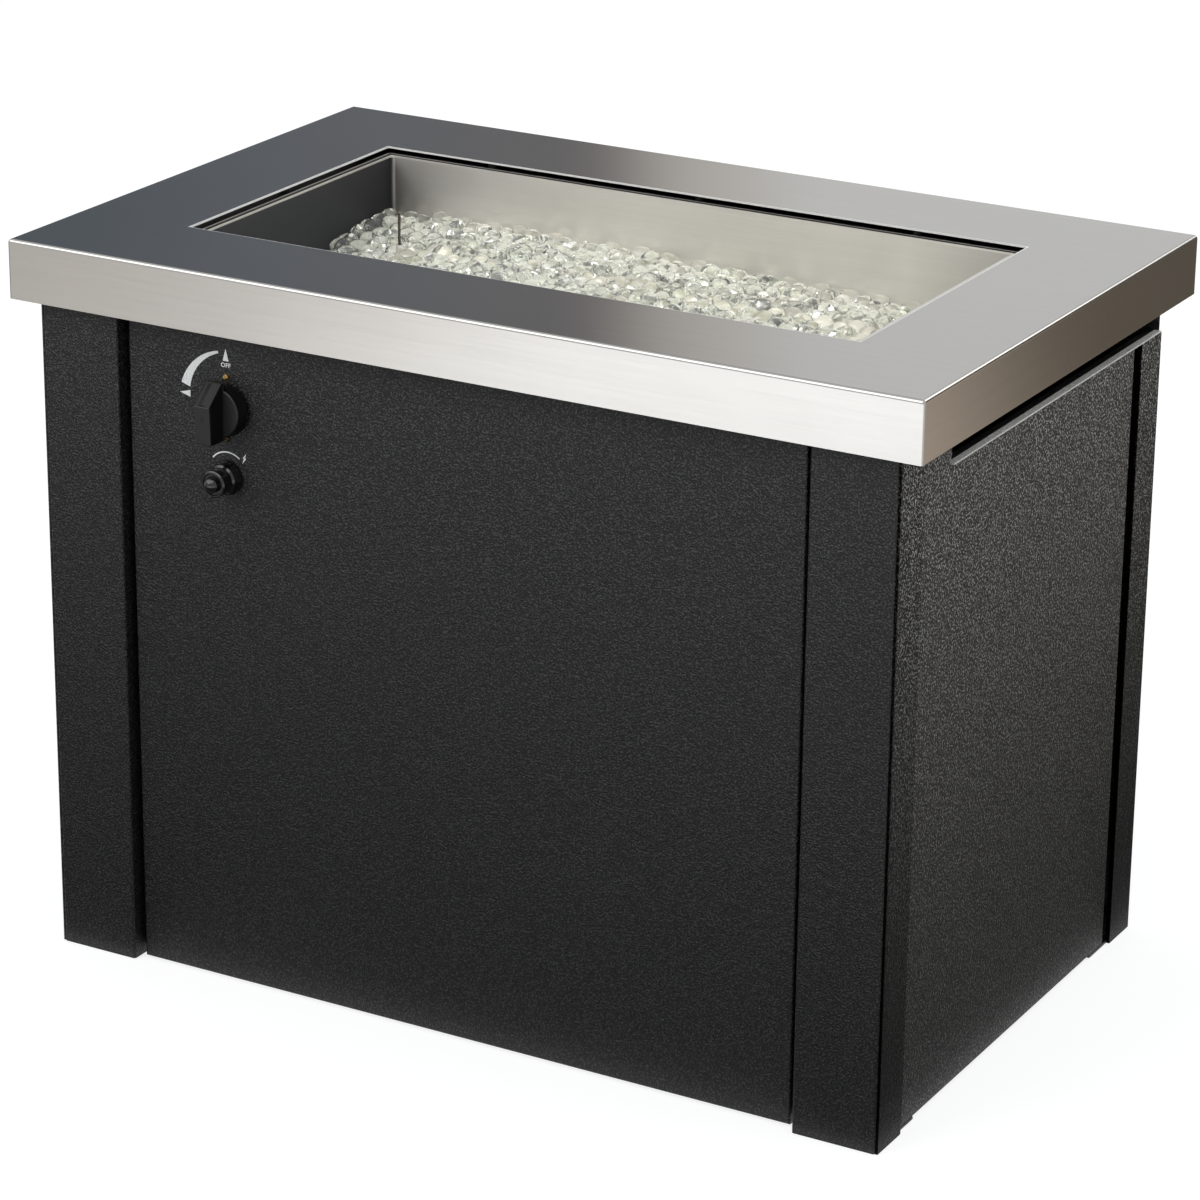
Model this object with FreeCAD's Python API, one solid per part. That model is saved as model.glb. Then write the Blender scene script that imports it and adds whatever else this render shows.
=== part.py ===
import FreeCAD, Part
import math
import os

from FreeCAD import Vector

os.makedirs("parts", exist_ok=True)

# Gas fire pit table with a folded stainless top, a glass-filled burner pan and a black sheet-steel base.
# Millimetres. X runs along the long side, +Y to the rear, +Z up. The controls are on the front, at -Y.
# The origin is on the floor, under the middle of the top.

# Stainless top
TOP_LENGTH = 819.0
TOP_DEPTH = 517.5
TABLE_HEIGHT = 622.0
TOP_SHEET = 1.5
TOP_BEND = 3.0
TOP_CORNER = 2.0
APRON = 50.0
APRON_LIP = 10.0
OPENING_LENGTH = 609.6
OPENING_DEPTH = 304.8

# Stiffening channels under the top
CHANNEL_HEIGHT = 20.0
CHANNEL_WIDTH = 24.0
CHANNEL_FLANGE = 12.0
CHANNEL_END_GAP = 64.5
CHANNEL_LENGTH = TOP_LENGTH - 2 * CHANNEL_END_GAP
CHANNEL_SHEET = 1.5

# Burner pan and the way it hangs
PAN_DROP = 5.0
PAN_RIM = 9.0
PAN_BEAD = 7.5
PAN_BEAD_HEIGHT = 1.4
PAN_FLANGE = 16.2
PAN_SHEET = 1.2
PAN_DEPTH = 87.0
PAN_CORNER = 4.0
PAN_BEND = 3.0
PAN_DRAIN = 8.0
PAN_DRAIN_X = 120.0
PAN_DRAIN_Y = 105.0
STUD_DIAMETER = 5.0
STUD_LENGTH = 14.0
SPACER_DIAMETER = 9.0
NUT_FLATS = 8.0
NUT_HEIGHT = 4.0
THREAD_GAP = 0.05

# Burner under the glass
BURNER_TUBE = 19.0
BURNER_WALL = 1.2
BURNER_END_GAP = 89.8
BURNER_SIDE_GAP = 87.4
BURNER_LENGTH = OPENING_LENGTH - 2 * BURNER_END_GAP
BURNER_WIDTH = OPENING_DEPTH - 2 * BURNER_SIDE_GAP
BURNER_CORNER = 25.0
BURNER_LIFT = 10.5
PORT_DIAMETER = 2.6
PORT_PITCH = 40.0
NIPPLE_DIAMETER = 16.0
NIPPLE_BORE = 11.0
LOCKNUT_FLATS = 27.0
LOCKNUT_HEIGHT = 6.0
SADDLE_SHEET = 1.5
SADDLE_WIDTH = 16.0
SADDLE_INSET = 95.0
SADDLE_X = BURNER_LENGTH / 2 - SADDLE_INSET

# Heap of fire glass
GLASS_CROWN_DROP = 45.0
GLASS_RIGHT_FALL = 11.5
GLASS_LEFT_FALL = 16.0
GLASS_FRONT_FALL = 4.0
GLASS_PITCH = 16.5
GLASS_LUMP = 9.0
GLASS_UNEVEN = 4.5
GLASS_SCATTER = 4.0
GLASS_WALL_GAP = 1.5
GLASS_GAP = 0.3

# Gas feed under the pan
ELBOW_BEND = 14.0
ELBOW_DIAMETER = 22.0
ELBOW_COLLAR = 27.0
ELBOW_COLLAR_LENGTH = 12.0
MIXER_DIAMETER = 20.0
MIXER_BORE = 15.0
MIXER_LENGTH = 70.0
MIXER_BELL = 25.0
AIR_SLOT_LENGTH = 14.0
AIR_SLOT_WIDTH = 7.0
ORIFICE_FLATS = 17.0
ORIFICE_HEX = 12.0
FLARE_DIAMETER = 12.0
FLARE_LENGTH = 12.0
GAS_LINE_DIAMETER = 10.0
LINE_NUT_FLATS = 17.0
LINE_NUT_LENGTH = 16.0
SHIELD_SHEET = 1.0
SHIELD_NEAR_X = 60.0
SHIELD_LENGTH = 210.0
SHIELD_DEPTH = 250.0
SHIELD_DROP = 32.0
SHIELD_FOOT = 14.0

# Spark electrode
ELECTRODE_BESIDE = 15.0
ELECTRODE_X = -(BURNER_LENGTH / 2 + ELECTRODE_BESIDE)
ELECTRODE_Y = BURNER_WIDTH / 2 - ELECTRODE_BESIDE
ELECTRODE_ROD = 2.4
ELECTRODE_TIP_DROP = 24.0
CERAMIC_DIAMETER = 7.0
CERAMIC_TOP = 36.0
CERAMIC_BELOW = 14.0
BRACKET_SHEET = 1.5

# Base
OVERHANG_LENGTH = 22.0
OVERHANG_DEPTH = 11.75
BASE_LENGTH = TOP_LENGTH - 2 * OVERHANG_LENGTH
BASE_DEPTH = TOP_DEPTH - 2 * OVERHANG_DEPTH
POST_FACE = 75.0
POST_SIDE = 42.0
POST_SHEET = 2.0
POST_BEND = 2.5
POST_TAB = 20.0
POST_RETURN = 19.5
SEAM = 1.0
STRIP_TOP_DROP = 22.0
GLIDE_SIZE = 28.0
GLIDE_HEIGHT = 12.0
GLIDE_STANDOFF = 1.0

# Front, rear and left panels
PANEL_SHEET = 1.5
PANEL_BEND = 2.0
PANEL_RETURN = 14.0
PANEL_LIP = 12.0
PANEL_RECESS = 8.0
PANEL_GAP = 5.5
PANEL_FLOOR_GAP = 2.5
PANEL_TOP_DROP = 24.0

# Frames inside the base, behind the front and rear panels
RAIL_HEIGHT = 25.0
RAIL_DEPTH = 20.0
RAIL_SHEET = 1.5
UPRIGHT_FOOT = 20.0
UPRIGHT_SETBACK = 17.5
HEADER_DROP = 81.8
HEADER_LIP = 12.0
HEADER_LEG = 21.5
HEADER_SHEET = 1.5

# Access door
DOOR_RECESS = 2.0
DOOR_RETURN = 8.0
DOOR_FLOOR_GAP = 4.0
DOOR_TOP_GAP = 1.0
DOOR_HINGE_GAP = 3.0
DOOR_FINGER_GAP = 10.0
DOOR_TAB_WIDTH = 46.7
DOOR_TAB_RISE = 25.8
DOOR_TAB_ROUND = 15.0
DOOR_NOTCH_GAP = 1.0
HINGE_INSET = 4.0
HINGE_PIN = 4.0
HINGE_HEAD = 4.9
HINGE_RETURN = 5.5
HINGE_HEAD_HEIGHT = 1.5
BRACKET_THICKNESS = 2.2
BRACKET_REACH = 19.0
BRACKET_SHOW = 27.0
BRACKET_LEG = 24.0
BRACKET_GAP = 0.3
CATCH_LENGTH = 40.0
CATCH_HEIGHT = 14.0
CATCH_FROM_EDGE = 15.0
STRIKE_SHEET = 1.5

# Floor shelf with the cylinder's locating tabs
SHELF_TOP = 19.5
SHELF_SHEET = 1.5
SHELF_FLANGE = 14.0
SHELF_CLEARANCE = 1.0
SHELF_DOOR_SPACE = 3.5
BAY_INSET = 212.5
BAY_X = BASE_LENGTH / 2 - BAY_INSET
FOOT_RING = 212.0
LOCATOR_HEIGHT = 12.0
LOCATOR_WIDTH = 30.0
LOCATOR_SHEET = 2.0
VENT_SLOT_LENGTH = 120.0
VENT_SLOT_WIDTH = 8.0
VENT_SLOT_PITCH = 24.0

# Gas valve and its knob
CONTROL_INSET = 100.0
CONTROL_DROP = 115.5
CONTROL_X = -(BASE_LENGTH / 2 - POST_FACE - CONTROL_INSET)
KNOB_Z = TABLE_HEIGHT - CONTROL_DROP
VALVE_SCREW_PITCH = 52.0
VALVE_SCREW = 4.0
VALVE_SCREW_HEAD = 5.2
VALVE_SCREW_HEAD_HEIGHT = 2.0
VALVE_EAR_THICKNESS = 3.0
VALVE_EAR_WIDTH = 14.0
VALVE_BODY = 26.0
VALVE_LENGTH = 32.5
VALVE_CAVITY = 16.1
STEM_DIAMETER = 8.0
STEM_HOLE = 8.1
STEM_COLLAR = 12.0
STEM_FLAT = 1.5
ROTOR_LENGTH = 14.0
TANG_THICKNESS = 4.0
INLET_DIAMETER = 15.8
INLET_LENGTH = 20.0
KNOB_BASE = 45.6
KNOB_FRONT = 41.0
KNOB_FACE = 15.0
KNOB_CLEARANCE = 3.6
KNOB_GRIP_WIDTH = 14.5
KNOB_GRIP_LOWER = 22.0
KNOB_GRIP_UPPER = 26.0
KNOB_BREAK_Z = 10.0
KNOB_BREAK_OUT = 35.75
KNOB_FOOT_OUT = 34.0
KNOB_TIP_OUT = 17.0
KNOB_RIDGE = 1.2
KNOB_TRAVEL = 3.0
SPRING_WIRE = 0.9

# Spark igniter
IGNITER_PITCH = 58.5
IGNITER_Z = KNOB_Z - IGNITER_PITCH
IGNITER_BARREL = 21.8
IGNITER_NOSE = 18.6
IGNITER_CELL = 15.2
IGNITER_CASE = 30.0
IGNITER_CASE_LENGTH = 53.5
BEZEL_BASE = 29.0
BEZEL_FRONT = 25.0
BEZEL_DEPTH = 10.5
BEZEL_FLUTES = 12
CAP_DIAMETER = 22.4
CAP_OUT = 22.5
CAP_WALL = 2.5
BUTTON_DIAMETER = 13.0
BUTTON_COLLAR = 17.6
BUTTON_COLLAR_THICKNESS = 1.5
BUTTON_OUT = 29.5
BUTTON_TRAVEL = 3.0
CELL_DIAMETER = 14.5
CELL_LENGTH = 50.5
LEAD_DIAMETER = 3.0

SCREW_DIAMETER = 4.0
SCREW_HEAD = 7.5
SCREW_HEAD_HEIGHT = 2.2

# Places that follow from the sizes
DECK = TABLE_HEIGHT - TOP_SHEET
BASE_X = BASE_LENGTH / 2
BASE_Y = BASE_DEPTH / 2
POST_INNER_X = BASE_X - 2 * POST_SHEET
POST_INNER_Y = BASE_Y - POST_SHEET
STRIP_EDGE_Y = BASE_Y - POST_SIDE
HEADER_Z = TABLE_HEIGHT - HEADER_DROP
HEADER_UNDER = HEADER_Z - HEADER_SHEET
PAN_RIM_Z = TABLE_HEIGHT - PAN_DROP
PAN_FLOOR_Z = PAN_RIM_Z - PAN_DEPTH
PAN_INNER_X = OPENING_LENGTH / 2 - PAN_RIM
PAN_INNER_Y = OPENING_DEPTH / 2 - PAN_RIM
BURNER_Z = PAN_FLOOR_Z + PAN_SHEET + BURNER_LIFT + BURNER_TUBE / 2
FEED_Z = KNOB_Z
PANEL_Y = -(BASE_Y - PANEL_RECESS)
PANEL_HALF = BASE_X - POST_FACE - PANEL_GAP
PANEL_TOP = TABLE_HEIGHT - PANEL_TOP_DROP
DOOR_X = BASE_X - DOOR_RECESS
DOOR_NEAR_Y = -(STRIP_EDGE_Y - DOOR_HINGE_GAP)
DOOR_FAR_Y = STRIP_EDGE_Y - DOOR_FINGER_GAP
DOOR_TOP = HEADER_UNDER - DOOR_TOP_GAP
DOOR_TAB_TOP = HEADER_Z + DOOR_TAB_RISE
DOOR_TAB_Y = DOOR_NEAR_Y + DOOR_TAB_WIDTH
HINGE_X = DOOR_X - HINGE_INSET
HINGE_Y = DOOR_NEAR_Y + HINGE_INSET
HEADER_LEG_X = BASE_X - HEADER_LIP + HEADER_SHEET
MIXER_MOUTH_X = -(ELBOW_BEND + MIXER_LENGTH)
ORIFICE_END_X = MIXER_MOUTH_X - ORIFICE_HEX - FLARE_LENGTH
FRAME_Y = -PANEL_Y - PANEL_RETURN
VALVE_BACK_Y = PANEL_Y + PANEL_SHEET + VALVE_LENGTH
IGNITER_BACK_Y = PANEL_Y + PANEL_SHEET + IGNITER_CASE_LENGTH

# The knob stands out in front of the top, so the middle of the whole object lies a little towards the front
ORIGIN_SHIFT_Y = (KNOB_BREAK_OUT - PANEL_Y - TOP_DEPTH / 2) / 2


def box(x0, x1, y0, y1, z0, z1):
    low = Vector(min(x0, x1), min(y0, y1), min(z0, z1))
    return Part.makeBox(abs(x1 - x0), abs(y1 - y0), abs(z1 - z0), low)


def rod(start, direction, radius, length):
    return Part.makeCylinder(radius, length, Vector(*start), Vector(*direction))


def fuse(shapes):
    whole = shapes[0].multiFuse(shapes[1:])
    return whole.removeSplitter()


def cut(shape, tools):
    return shape.cut(Part.makeCompound(tools))


def mirrored_y(shape):
    return shape.mirror(Vector(0, 0, 0), Vector(0, 1, 0))


def mirrored_x(shape):
    return shape.mirror(Vector(0, 0, 0), Vector(1, 0, 0))


def on_level(edge, axis, level):
    """True if both ends of the edge lie at this coordinate."""
    return all(abs(getattr(v.Point, axis) - level) < 1e-6 for v in edge.Vertexes)


def along(edge, axis):
    """True for a straight edge that runs along this axis."""
    if not isinstance(edge.Curve, Part.Line):
        return False
    return abs(abs(getattr(edge.Curve.Direction, axis)) - 1) < 1e-6


def prism_xy(points, z0, z1):
    face = Part.Face(Part.makePolygon([Vector(x, y, z0) for x, y in points + points[:1]]))
    return face.extrude(Vector(0, 0, z1 - z0))


def prism_xz(points, y0, y1):
    face = Part.Face(Part.makePolygon([Vector(x, y0, z) for x, z in points + points[:1]]))
    return face.extrude(Vector(0, y1 - y0, 0))


def prism_yz(points, x0, x1):
    face = Part.Face(Part.makePolygon([Vector(x0, y, z) for y, z in points + points[:1]]))
    return face.extrude(Vector(x1 - x0, 0, 0))


def rounded_block(half_x, half_y, corner, z0, z1):
    block = box(-half_x, half_x, -half_y, half_y, z0, z1)
    return block.makeFillet(corner, [e for e in block.Edges if along(e, "z")])


def hexagon(centre, direction, flats, length):
    """A hexagonal bar with its corners turned off, as on a nut."""
    radius = flats / 2 / math.cos(math.pi / 6)
    corners = [
        Vector(radius * math.cos(math.radians(60 * k)), radius * math.sin(math.radians(60 * k)), 0)
        for k in range(7)
    ]
    bar = Part.Face(Part.makePolygon(corners)).extrude(Vector(0, 0, length))
    bevel = (radius - flats / 2) * 0.8
    turned = Part.makeCylinder(radius, length)
    turned = turned.makeChamfer(bevel, [e for e in turned.Edges if isinstance(e.Curve, Part.Circle)])
    bar = bar.common(turned)
    bar.Placement = FreeCAD.Placement(
        Vector(*centre), FreeCAD.Rotation(Vector(0, 0, 1), Vector(*direction))
    )
    return bar


def revolved(profile, start, direction):
    """Turns a profile of (distance along the axis, radius) pairs about an axis."""
    points = [Vector(r, 0, s) for s, r in profile]
    face = Part.Face(Part.makePolygon(points + points[:1]))
    solid = face.revolve(Vector(0, 0, 0), Vector(0, 0, 1), 360)
    solid = Part.Solid(solid.Shells[0]) if solid.Solids == [] else solid
    solid.Placement = FreeCAD.Placement(
        Vector(*start), FreeCAD.Rotation(Vector(0, 0, 1), Vector(*direction))
    )
    return solid


def coil_spring(start, direction, radius, length, turns):
    """One unbroken wire, in quarter-turn arcs through points of the helix."""
    steps = turns * 4
    rise = length / steps

    def place(k):
        angle = k * math.pi / 2
        return Vector(radius * math.cos(angle), radius * math.sin(angle), k * rise)

    arcs = [Part.Arc(place(k), place(k + 0.5), place(k + 1)).toShape() for k in range(steps)]
    path = Part.Wire(arcs)
    tangent = arcs[0].tangentAt(arcs[0].FirstParameter)
    section = Part.Wire([Part.makeCircle(SPRING_WIRE / 2, place(0), tangent)])
    wire = path.makePipeShell([section], True, False)
    wire.Placement = FreeCAD.Placement(
        Vector(*start), FreeCAD.Rotation(Vector(0, 0, 1), Vector(*direction))
    )
    return wire


def tube_along(points, diameter, name):
    """A round line through the points, whose bends are tangent arcs as large as their runs allow."""
    spots = [Vector(*p) for p in points]
    edges = []
    last = spots[0]
    radii = []
    length = 0.0
    for before, corner, after in zip(spots, spots[1:], spots[2:]):
        come = (corner - before).normalize()
        go = (after - corner).normalize()
        turn = come.getAngle(go)
        reach = 0.45 * min((corner - before).Length, (after - corner).Length)
        radius = reach / math.tan(turn / 2)
        enter = corner - come * reach
        leave = corner + go * reach
        inward = (go - come).normalize()
        middle = corner + inward * (radius / math.cos(turn / 2) - radius)
        edges.append(Part.LineSegment(last, enter).toShape())
        edges.append(Part.Arc(enter, middle, leave).toShape())
        radii.append(round(radius, 1))
        length += (enter - last).Length + radius * turn
        last = leave
    edges.append(Part.LineSegment(last, spots[-1]).toShape())
    length += (spots[-1] - last).Length
    path = Part.Wire(edges)
    section = Part.Wire([Part.makeCircle(diameter / 2, spots[0], spots[1] - spots[0])])
    tube = path.makePipeShell([section], True, False)
    ideal = math.pi * diameter**2 / 4 * length
    print(name, "radii", radii, "volume over section times length", round(tube.Volume / ideal, 4))
    return tube


def folded_tray(face_axis, outward, span_a, span_b, face_at, depth):
    """A sheet with all four edges bent back: its face lies at face_at, and its returns reach depth behind it.

    face_axis is "x" or "y", outward is +1 or -1 along it, span_a is the range along the other level axis and
    span_b the range in height.
    """
    back = face_at - outward * depth
    inner_face = face_at - outward * PANEL_SHEET
    a0, a1 = span_a
    b0, b1 = span_b
    t = PANEL_SHEET
    if face_axis == "y":
        block = box(a0, a1, face_at, back, b0, b1)
        hollow = box(a0 + t, a1 - t, inner_face, back - outward * t, b0 + t, b1 - t)
    else:
        block = box(face_at, back, a0, a1, b0, b1)
        hollow = box(inner_face, back - outward * t, a0 + t, a1 - t, b0 + t, b1 - t)
    bends = [e for e in block.Edges if on_level(e, face_axis, face_at)]
    return block.makeFillet(PANEL_BEND, bends).cut(hollow)


def stud_places():
    """Where the pan's studs stand: three along each long side and one at each end."""
    reach = OPENING_DEPTH / 2 + PAN_FLANGE / 2
    places = [(x, side * reach) for side in (-1, 1) for x in (-OPENING_LENGTH / 3, 0, OPENING_LENGTH / 3)]
    ends = OPENING_LENGTH / 2 + PAN_FLANGE / 2
    return places + [(-ends, 0), (ends, 0)]


def post_stud_places():
    """Where the posts' tabs are fixed to the top."""
    x = BASE_X - POST_FACE / 2
    y = POST_INNER_Y - POST_TAB / 2
    return [(sx * x, sy * y) for sx in (-1, 1) for sy in (-1, 1)]


def table_top():
    """One stainless sheet: flat deck, apron on four sides with a lip at its foot, and welded studs below."""
    foot = TABLE_HEIGHT - APRON
    half_x = TOP_LENGTH / 2
    half_y = TOP_DEPTH / 2
    shell = rounded_block(half_x, half_y, TOP_CORNER, foot, TABLE_HEIGHT)
    shell = shell.makeFillet(TOP_BEND, [e for e in shell.Edges if on_level(e, "z", TABLE_HEIGHT)])
    wall_x = half_x - TOP_SHEET
    wall_y = half_y - TOP_SHEET
    inside = box(-wall_x, wall_x, -wall_y, wall_y, foot + TOP_SHEET, DECK)
    mouth_x = half_x - APRON_LIP
    mouth_y = half_y - APRON_LIP
    mouth = box(-mouth_x, mouth_x, -mouth_y, mouth_y, foot, DECK)
    opening = rounded_block(OPENING_LENGTH / 2, OPENING_DEPTH / 2, TOP_CORNER, foot, TABLE_HEIGHT + TOP_SHEET)
    sheet = cut(shell, [inside.fuse(mouth).fuse(opening)])
    studs = [
        rod((x, y, DECK - STUD_LENGTH), (0, 0, 1), STUD_DIAMETER / 2, STUD_LENGTH)
        for x, y in stud_places() + post_stud_places()
    ]
    return fuse([sheet] + studs)


def top_channel(side):
    """A hat-shaped stiffener along one long side of the opening."""
    near = OPENING_DEPTH / 2 + PAN_FLANGE + CHANNEL_FLANGE + 2
    far = near + CHANNEL_WIDTH
    t = CHANNEL_SHEET
    low = DECK - CHANNEL_HEIGHT
    outline = [
        (near - CHANNEL_FLANGE, DECK),
        (near + t, DECK),
        (near + t, low + t),
        (far - t, low + t),
        (far - t, DECK),
        (far + CHANNEL_FLANGE, DECK),
        (far + CHANNEL_FLANGE, DECK - t),
        (far, DECK - t),
        (far, low),
        (near, low),
        (near, DECK - t),
        (near - CHANNEL_FLANGE, DECK - t),
    ]
    return prism_yz([(side * y, z) for y, z in outline], -CHANNEL_LENGTH / 2, CHANNEL_LENGTH / 2)


def burner_pan():
    """Deep stainless pan with a flat flange and a raised bead round its mouth."""
    flange_top = PAN_RIM_Z - PAN_BEAD_HEIGHT
    t = PAN_SHEET
    tub = rounded_block(PAN_INNER_X + t, PAN_INNER_Y + t, PAN_CORNER + t, PAN_FLOOR_Z, flange_top)
    tub = tub.makeFillet(PAN_BEND, [e for e in tub.Edges if on_level(e, "z", PAN_FLOOR_Z)])
    flange_x = OPENING_LENGTH / 2 + PAN_FLANGE
    flange_y = OPENING_DEPTH / 2 + PAN_FLANGE
    flange = rounded_block(flange_x, flange_y, PAN_CORNER, flange_top - t, flange_top)
    bead = rounded_block(
        PAN_INNER_X + PAN_BEAD, PAN_INNER_Y + PAN_BEAD, PAN_CORNER, flange_top - t / 2, PAN_RIM_Z
    )
    bead = bead.makeFillet(PAN_BEAD_HEIGHT / 2, [e for e in bead.Edges if on_level(e, "z", PAN_RIM_Z)])
    hollow = rounded_block(PAN_INNER_X, PAN_INNER_Y, PAN_CORNER, PAN_FLOOR_Z + t, PAN_RIM_Z + t)
    under = PAN_FLOOR_Z - 1
    holes = [rod((0, 0, under), (0, 0, 1), NIPPLE_DIAMETER / 2 + 1, t + 2)]
    holes.append(rod((ELECTRODE_X, ELECTRODE_Y, under), (0, 0, 1), CERAMIC_DIAMETER / 2 + 1, t + 2))
    for sx in (-1, 1):
        for sy in (-1, 1):
            holes.append(rod((sx * PAN_DRAIN_X, sy * PAN_DRAIN_Y, under), (0, 0, 1), PAN_DRAIN / 2, t + 2))
    for x, y in stud_places():
        holes.append(rod((x, y, flange_top - t - 1), (0, 0, 1), STUD_DIAMETER / 2 + 0.3, t + 2))
    return cut(fuse([tub, flange, bead]), [hollow] + holes)


def pan_spacers():
    """Rings on the studs that hold the pan's flange clear of the hot top."""
    flange_top = PAN_RIM_Z - PAN_BEAD_HEIGHT
    rings = []
    for x, y in stud_places():
        ring = rod((x, y, flange_top), (0, 0, 1), SPACER_DIAMETER / 2, DECK - flange_top)
        bore = rod((x, y, flange_top), (0, 0, 1), STUD_DIAMETER / 2 + THREAD_GAP, DECK - flange_top)
        rings.append(ring.cut(bore))
    return Part.makeCompound(rings)


def nuts(places, top):
    """Hexagonal nuts on studs, with their upper faces at this height."""
    group = []
    for x, y in places:
        nut = hexagon((x, y, top - NUT_HEIGHT), (0, 0, 1), NUT_FLATS, NUT_HEIGHT)
        bore = rod((x, y, top - NUT_HEIGHT), (0, 0, 1), STUD_DIAMETER / 2 + THREAD_GAP, NUT_HEIGHT)
        group.append(nut.cut(bore))
    return Part.makeCompound(group)


def burner_ring(diameter):
    """The loop of tube with rounded corners, and the cross tube that feeds it."""
    r = diameter / 2
    hx = BURNER_LENGTH / 2
    hy = BURNER_WIDTH / 2
    c = BURNER_CORNER
    runs = [rod((-hx + c, side * hy, BURNER_Z), (1, 0, 0), r, 2 * (hx - c)) for side in (-1, 1)]
    runs += [rod((side * hx, -hy + c, BURNER_Z), (0, 1, 0), r, 2 * (hy - c)) for side in (-1, 1)]
    for k, (sx, sy) in enumerate(((1, 1), (-1, 1), (-1, -1), (1, -1))):
        centre = Vector(sx * (hx - c), sy * (hy - c), BURNER_Z)
        bend = Part.makeTorus(c, r, centre, Vector(0, 0, 1), 0, 360, 90)
        bend.rotate(centre, Vector(0, 0, 1), 90 * k)
        runs.append(bend)
    runs.append(rod((0, -hy, BURNER_Z), (0, 1, 0), r, 2 * hy))
    return fuse(runs)


def burner():
    """A looped tube with a cross tube, ports along its upper side and a threaded nipple through the pan."""
    nipple_low = FEED_Z + ELBOW_BEND
    body = burner_ring(BURNER_TUBE)
    body = body.fuse(rod((0, 0, nipple_low), (0, 0, 1), NIPPLE_DIAMETER / 2, BURNER_Z - nipple_low))
    body = body.cut(burner_ring(BURNER_TUBE - 2 * BURNER_WALL))
    body = body.cut(rod((0, 0, nipple_low), (0, 0, 1), NIPPLE_BORE / 2, BURNER_Z - nipple_low))
    half = BURNER_LENGTH / 2 - BURNER_CORNER
    count = int(half // PORT_PITCH)
    xs = [k * PORT_PITCH for k in range(-count, count + 1)]
    ports = [(x, side * BURNER_WIDTH / 2) for side in (-1, 1) for x in xs]
    ports += [(sx * BURNER_LENGTH / 2, sy * BURNER_WIDTH / 8) for sx in (-1, 1) for sy in (-1, 1)]
    drills = [rod((x, y, BURNER_Z), (0, 0, 1), PORT_DIAMETER / 2, BURNER_TUBE) for x, y in ports]
    return cut(body, drills).removeSplitter()


def burner_saddle(x):
    """A folded bridge on the pan's floor whose notches carry the two long tubes."""
    t = SADDLE_SHEET
    floor = PAN_FLOOR_Z + PAN_SHEET
    reach = BURNER_WIDTH / 2 + BURNER_TUBE
    top = BURNER_Z - BURNER_TUBE / 2 + BURNER_TUBE / 4
    web = box(x, x + t, -reach, reach, floor, top)
    foot = box(x, x + SADDLE_WIDTH, -reach, reach, floor, floor + t)
    seat = BURNER_TUBE / 2 + THREAD_GAP
    wide = SADDLE_WIDTH + 2 * t
    seats = [rod((x - t, side * BURNER_WIDTH / 2, BURNER_Z), (1, 0, 0), seat, wide) for side in (-1, 1)]
    return cut(web.fuse(foot), seats)


def locknut():
    """Hexagonal nut that clamps the burner's nipple to the pan's floor."""
    low = PAN_FLOOR_Z - LOCKNUT_HEIGHT
    nut = hexagon((0, 0, low), (0, 0, 1), LOCKNUT_FLATS, LOCKNUT_HEIGHT)
    return nut.cut(rod((0, 0, low), (0, 0, 1), NIPPLE_DIAMETER / 2 + THREAD_GAP, LOCKNUT_HEIGHT))


def share(value):
    """The value kept between 0 and 1."""
    return min(max(value, 0.0), 1.0)


def scatter(row, place, kind):
    """A share from 0 to 1 that looks random and is the same at every build."""
    value = 43758.5453 * math.sin(12.9898 * row + 78.233 * place + 37.719 * kind)
    return value - math.floor(value)


def glass_level(x, y):
    """Height of the heap: it falls from the rear towards the right end, the front and the front left."""
    u = x / PAN_INNER_X
    v = y / PAN_INNER_Y
    right = GLASS_RIGHT_FALL * share((u + 0.3) / 1.3)
    left = GLASS_LEFT_FALL * share((-u - 0.5) / 0.5) * share((0.68 - v) / 0.6)
    front = GLASS_FRONT_FALL * share((-v - 0.75) / 0.25)
    return TABLE_HEIGHT - GLASS_CROWN_DROP - right - left - front


def glass_knot(x, y, row, place, crest):
    """One point of the surface, moved a little aside: the crest of a lump, or a hollow between lumps."""
    x = x + GLASS_SCATTER * (scatter(row, place, 1) - 0.5)
    y = y + GLASS_SCATTER * (scatter(row, place, 2) - 0.5)
    down = GLASS_UNEVEN * scatter(row, place, 3) if crest else GLASS_LUMP
    z = glass_level(x, y) - down
    over_burner = abs(x) < BURNER_LENGTH / 2 + BURNER_TUBE and abs(y) < BURNER_WIDTH / 2 + BURNER_TUBE
    if over_burner:
        cover = BURNER_Z + BURNER_TUBE / 2 + 2 * GLASS_GAP
        z = max(z, cover + GLASS_UNEVEN if crest else cover)
    return Vector(x, y, z)


def glass_rows(half_x, half_y):
    """A net of three-cornered meshes over the heap, in which every third knot is the crest of a lump."""
    step = GLASS_PITCH / math.sqrt(3)
    columns = 3 * round((2 * half_x / step - 2) / 3) + 2
    lines = 2 * round(half_y / (step * math.sqrt(3) / 2))
    rows = []
    for row in range(lines + 1):
        y = half_y * (2 * row / lines - 1)
        odd = row % 2
        inner = [half_x * (2 * (k - odd / 2) / columns - 1) for k in range(1, columns + odd)]
        places = [-half_x] + inner + [half_x]
        at_wall = row in (0, lines)
        knots = []
        for k, x in enumerate(places):
            if at_wall or k in (0, len(places) - 1):
                knots.append(Vector(x, y, glass_level(x, y) - GLASS_LUMP))
            else:
                knots.append(glass_knot(x, y, row, k, k % 3 == 1 - odd))
        rows.append(knots)
    return rows


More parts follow.
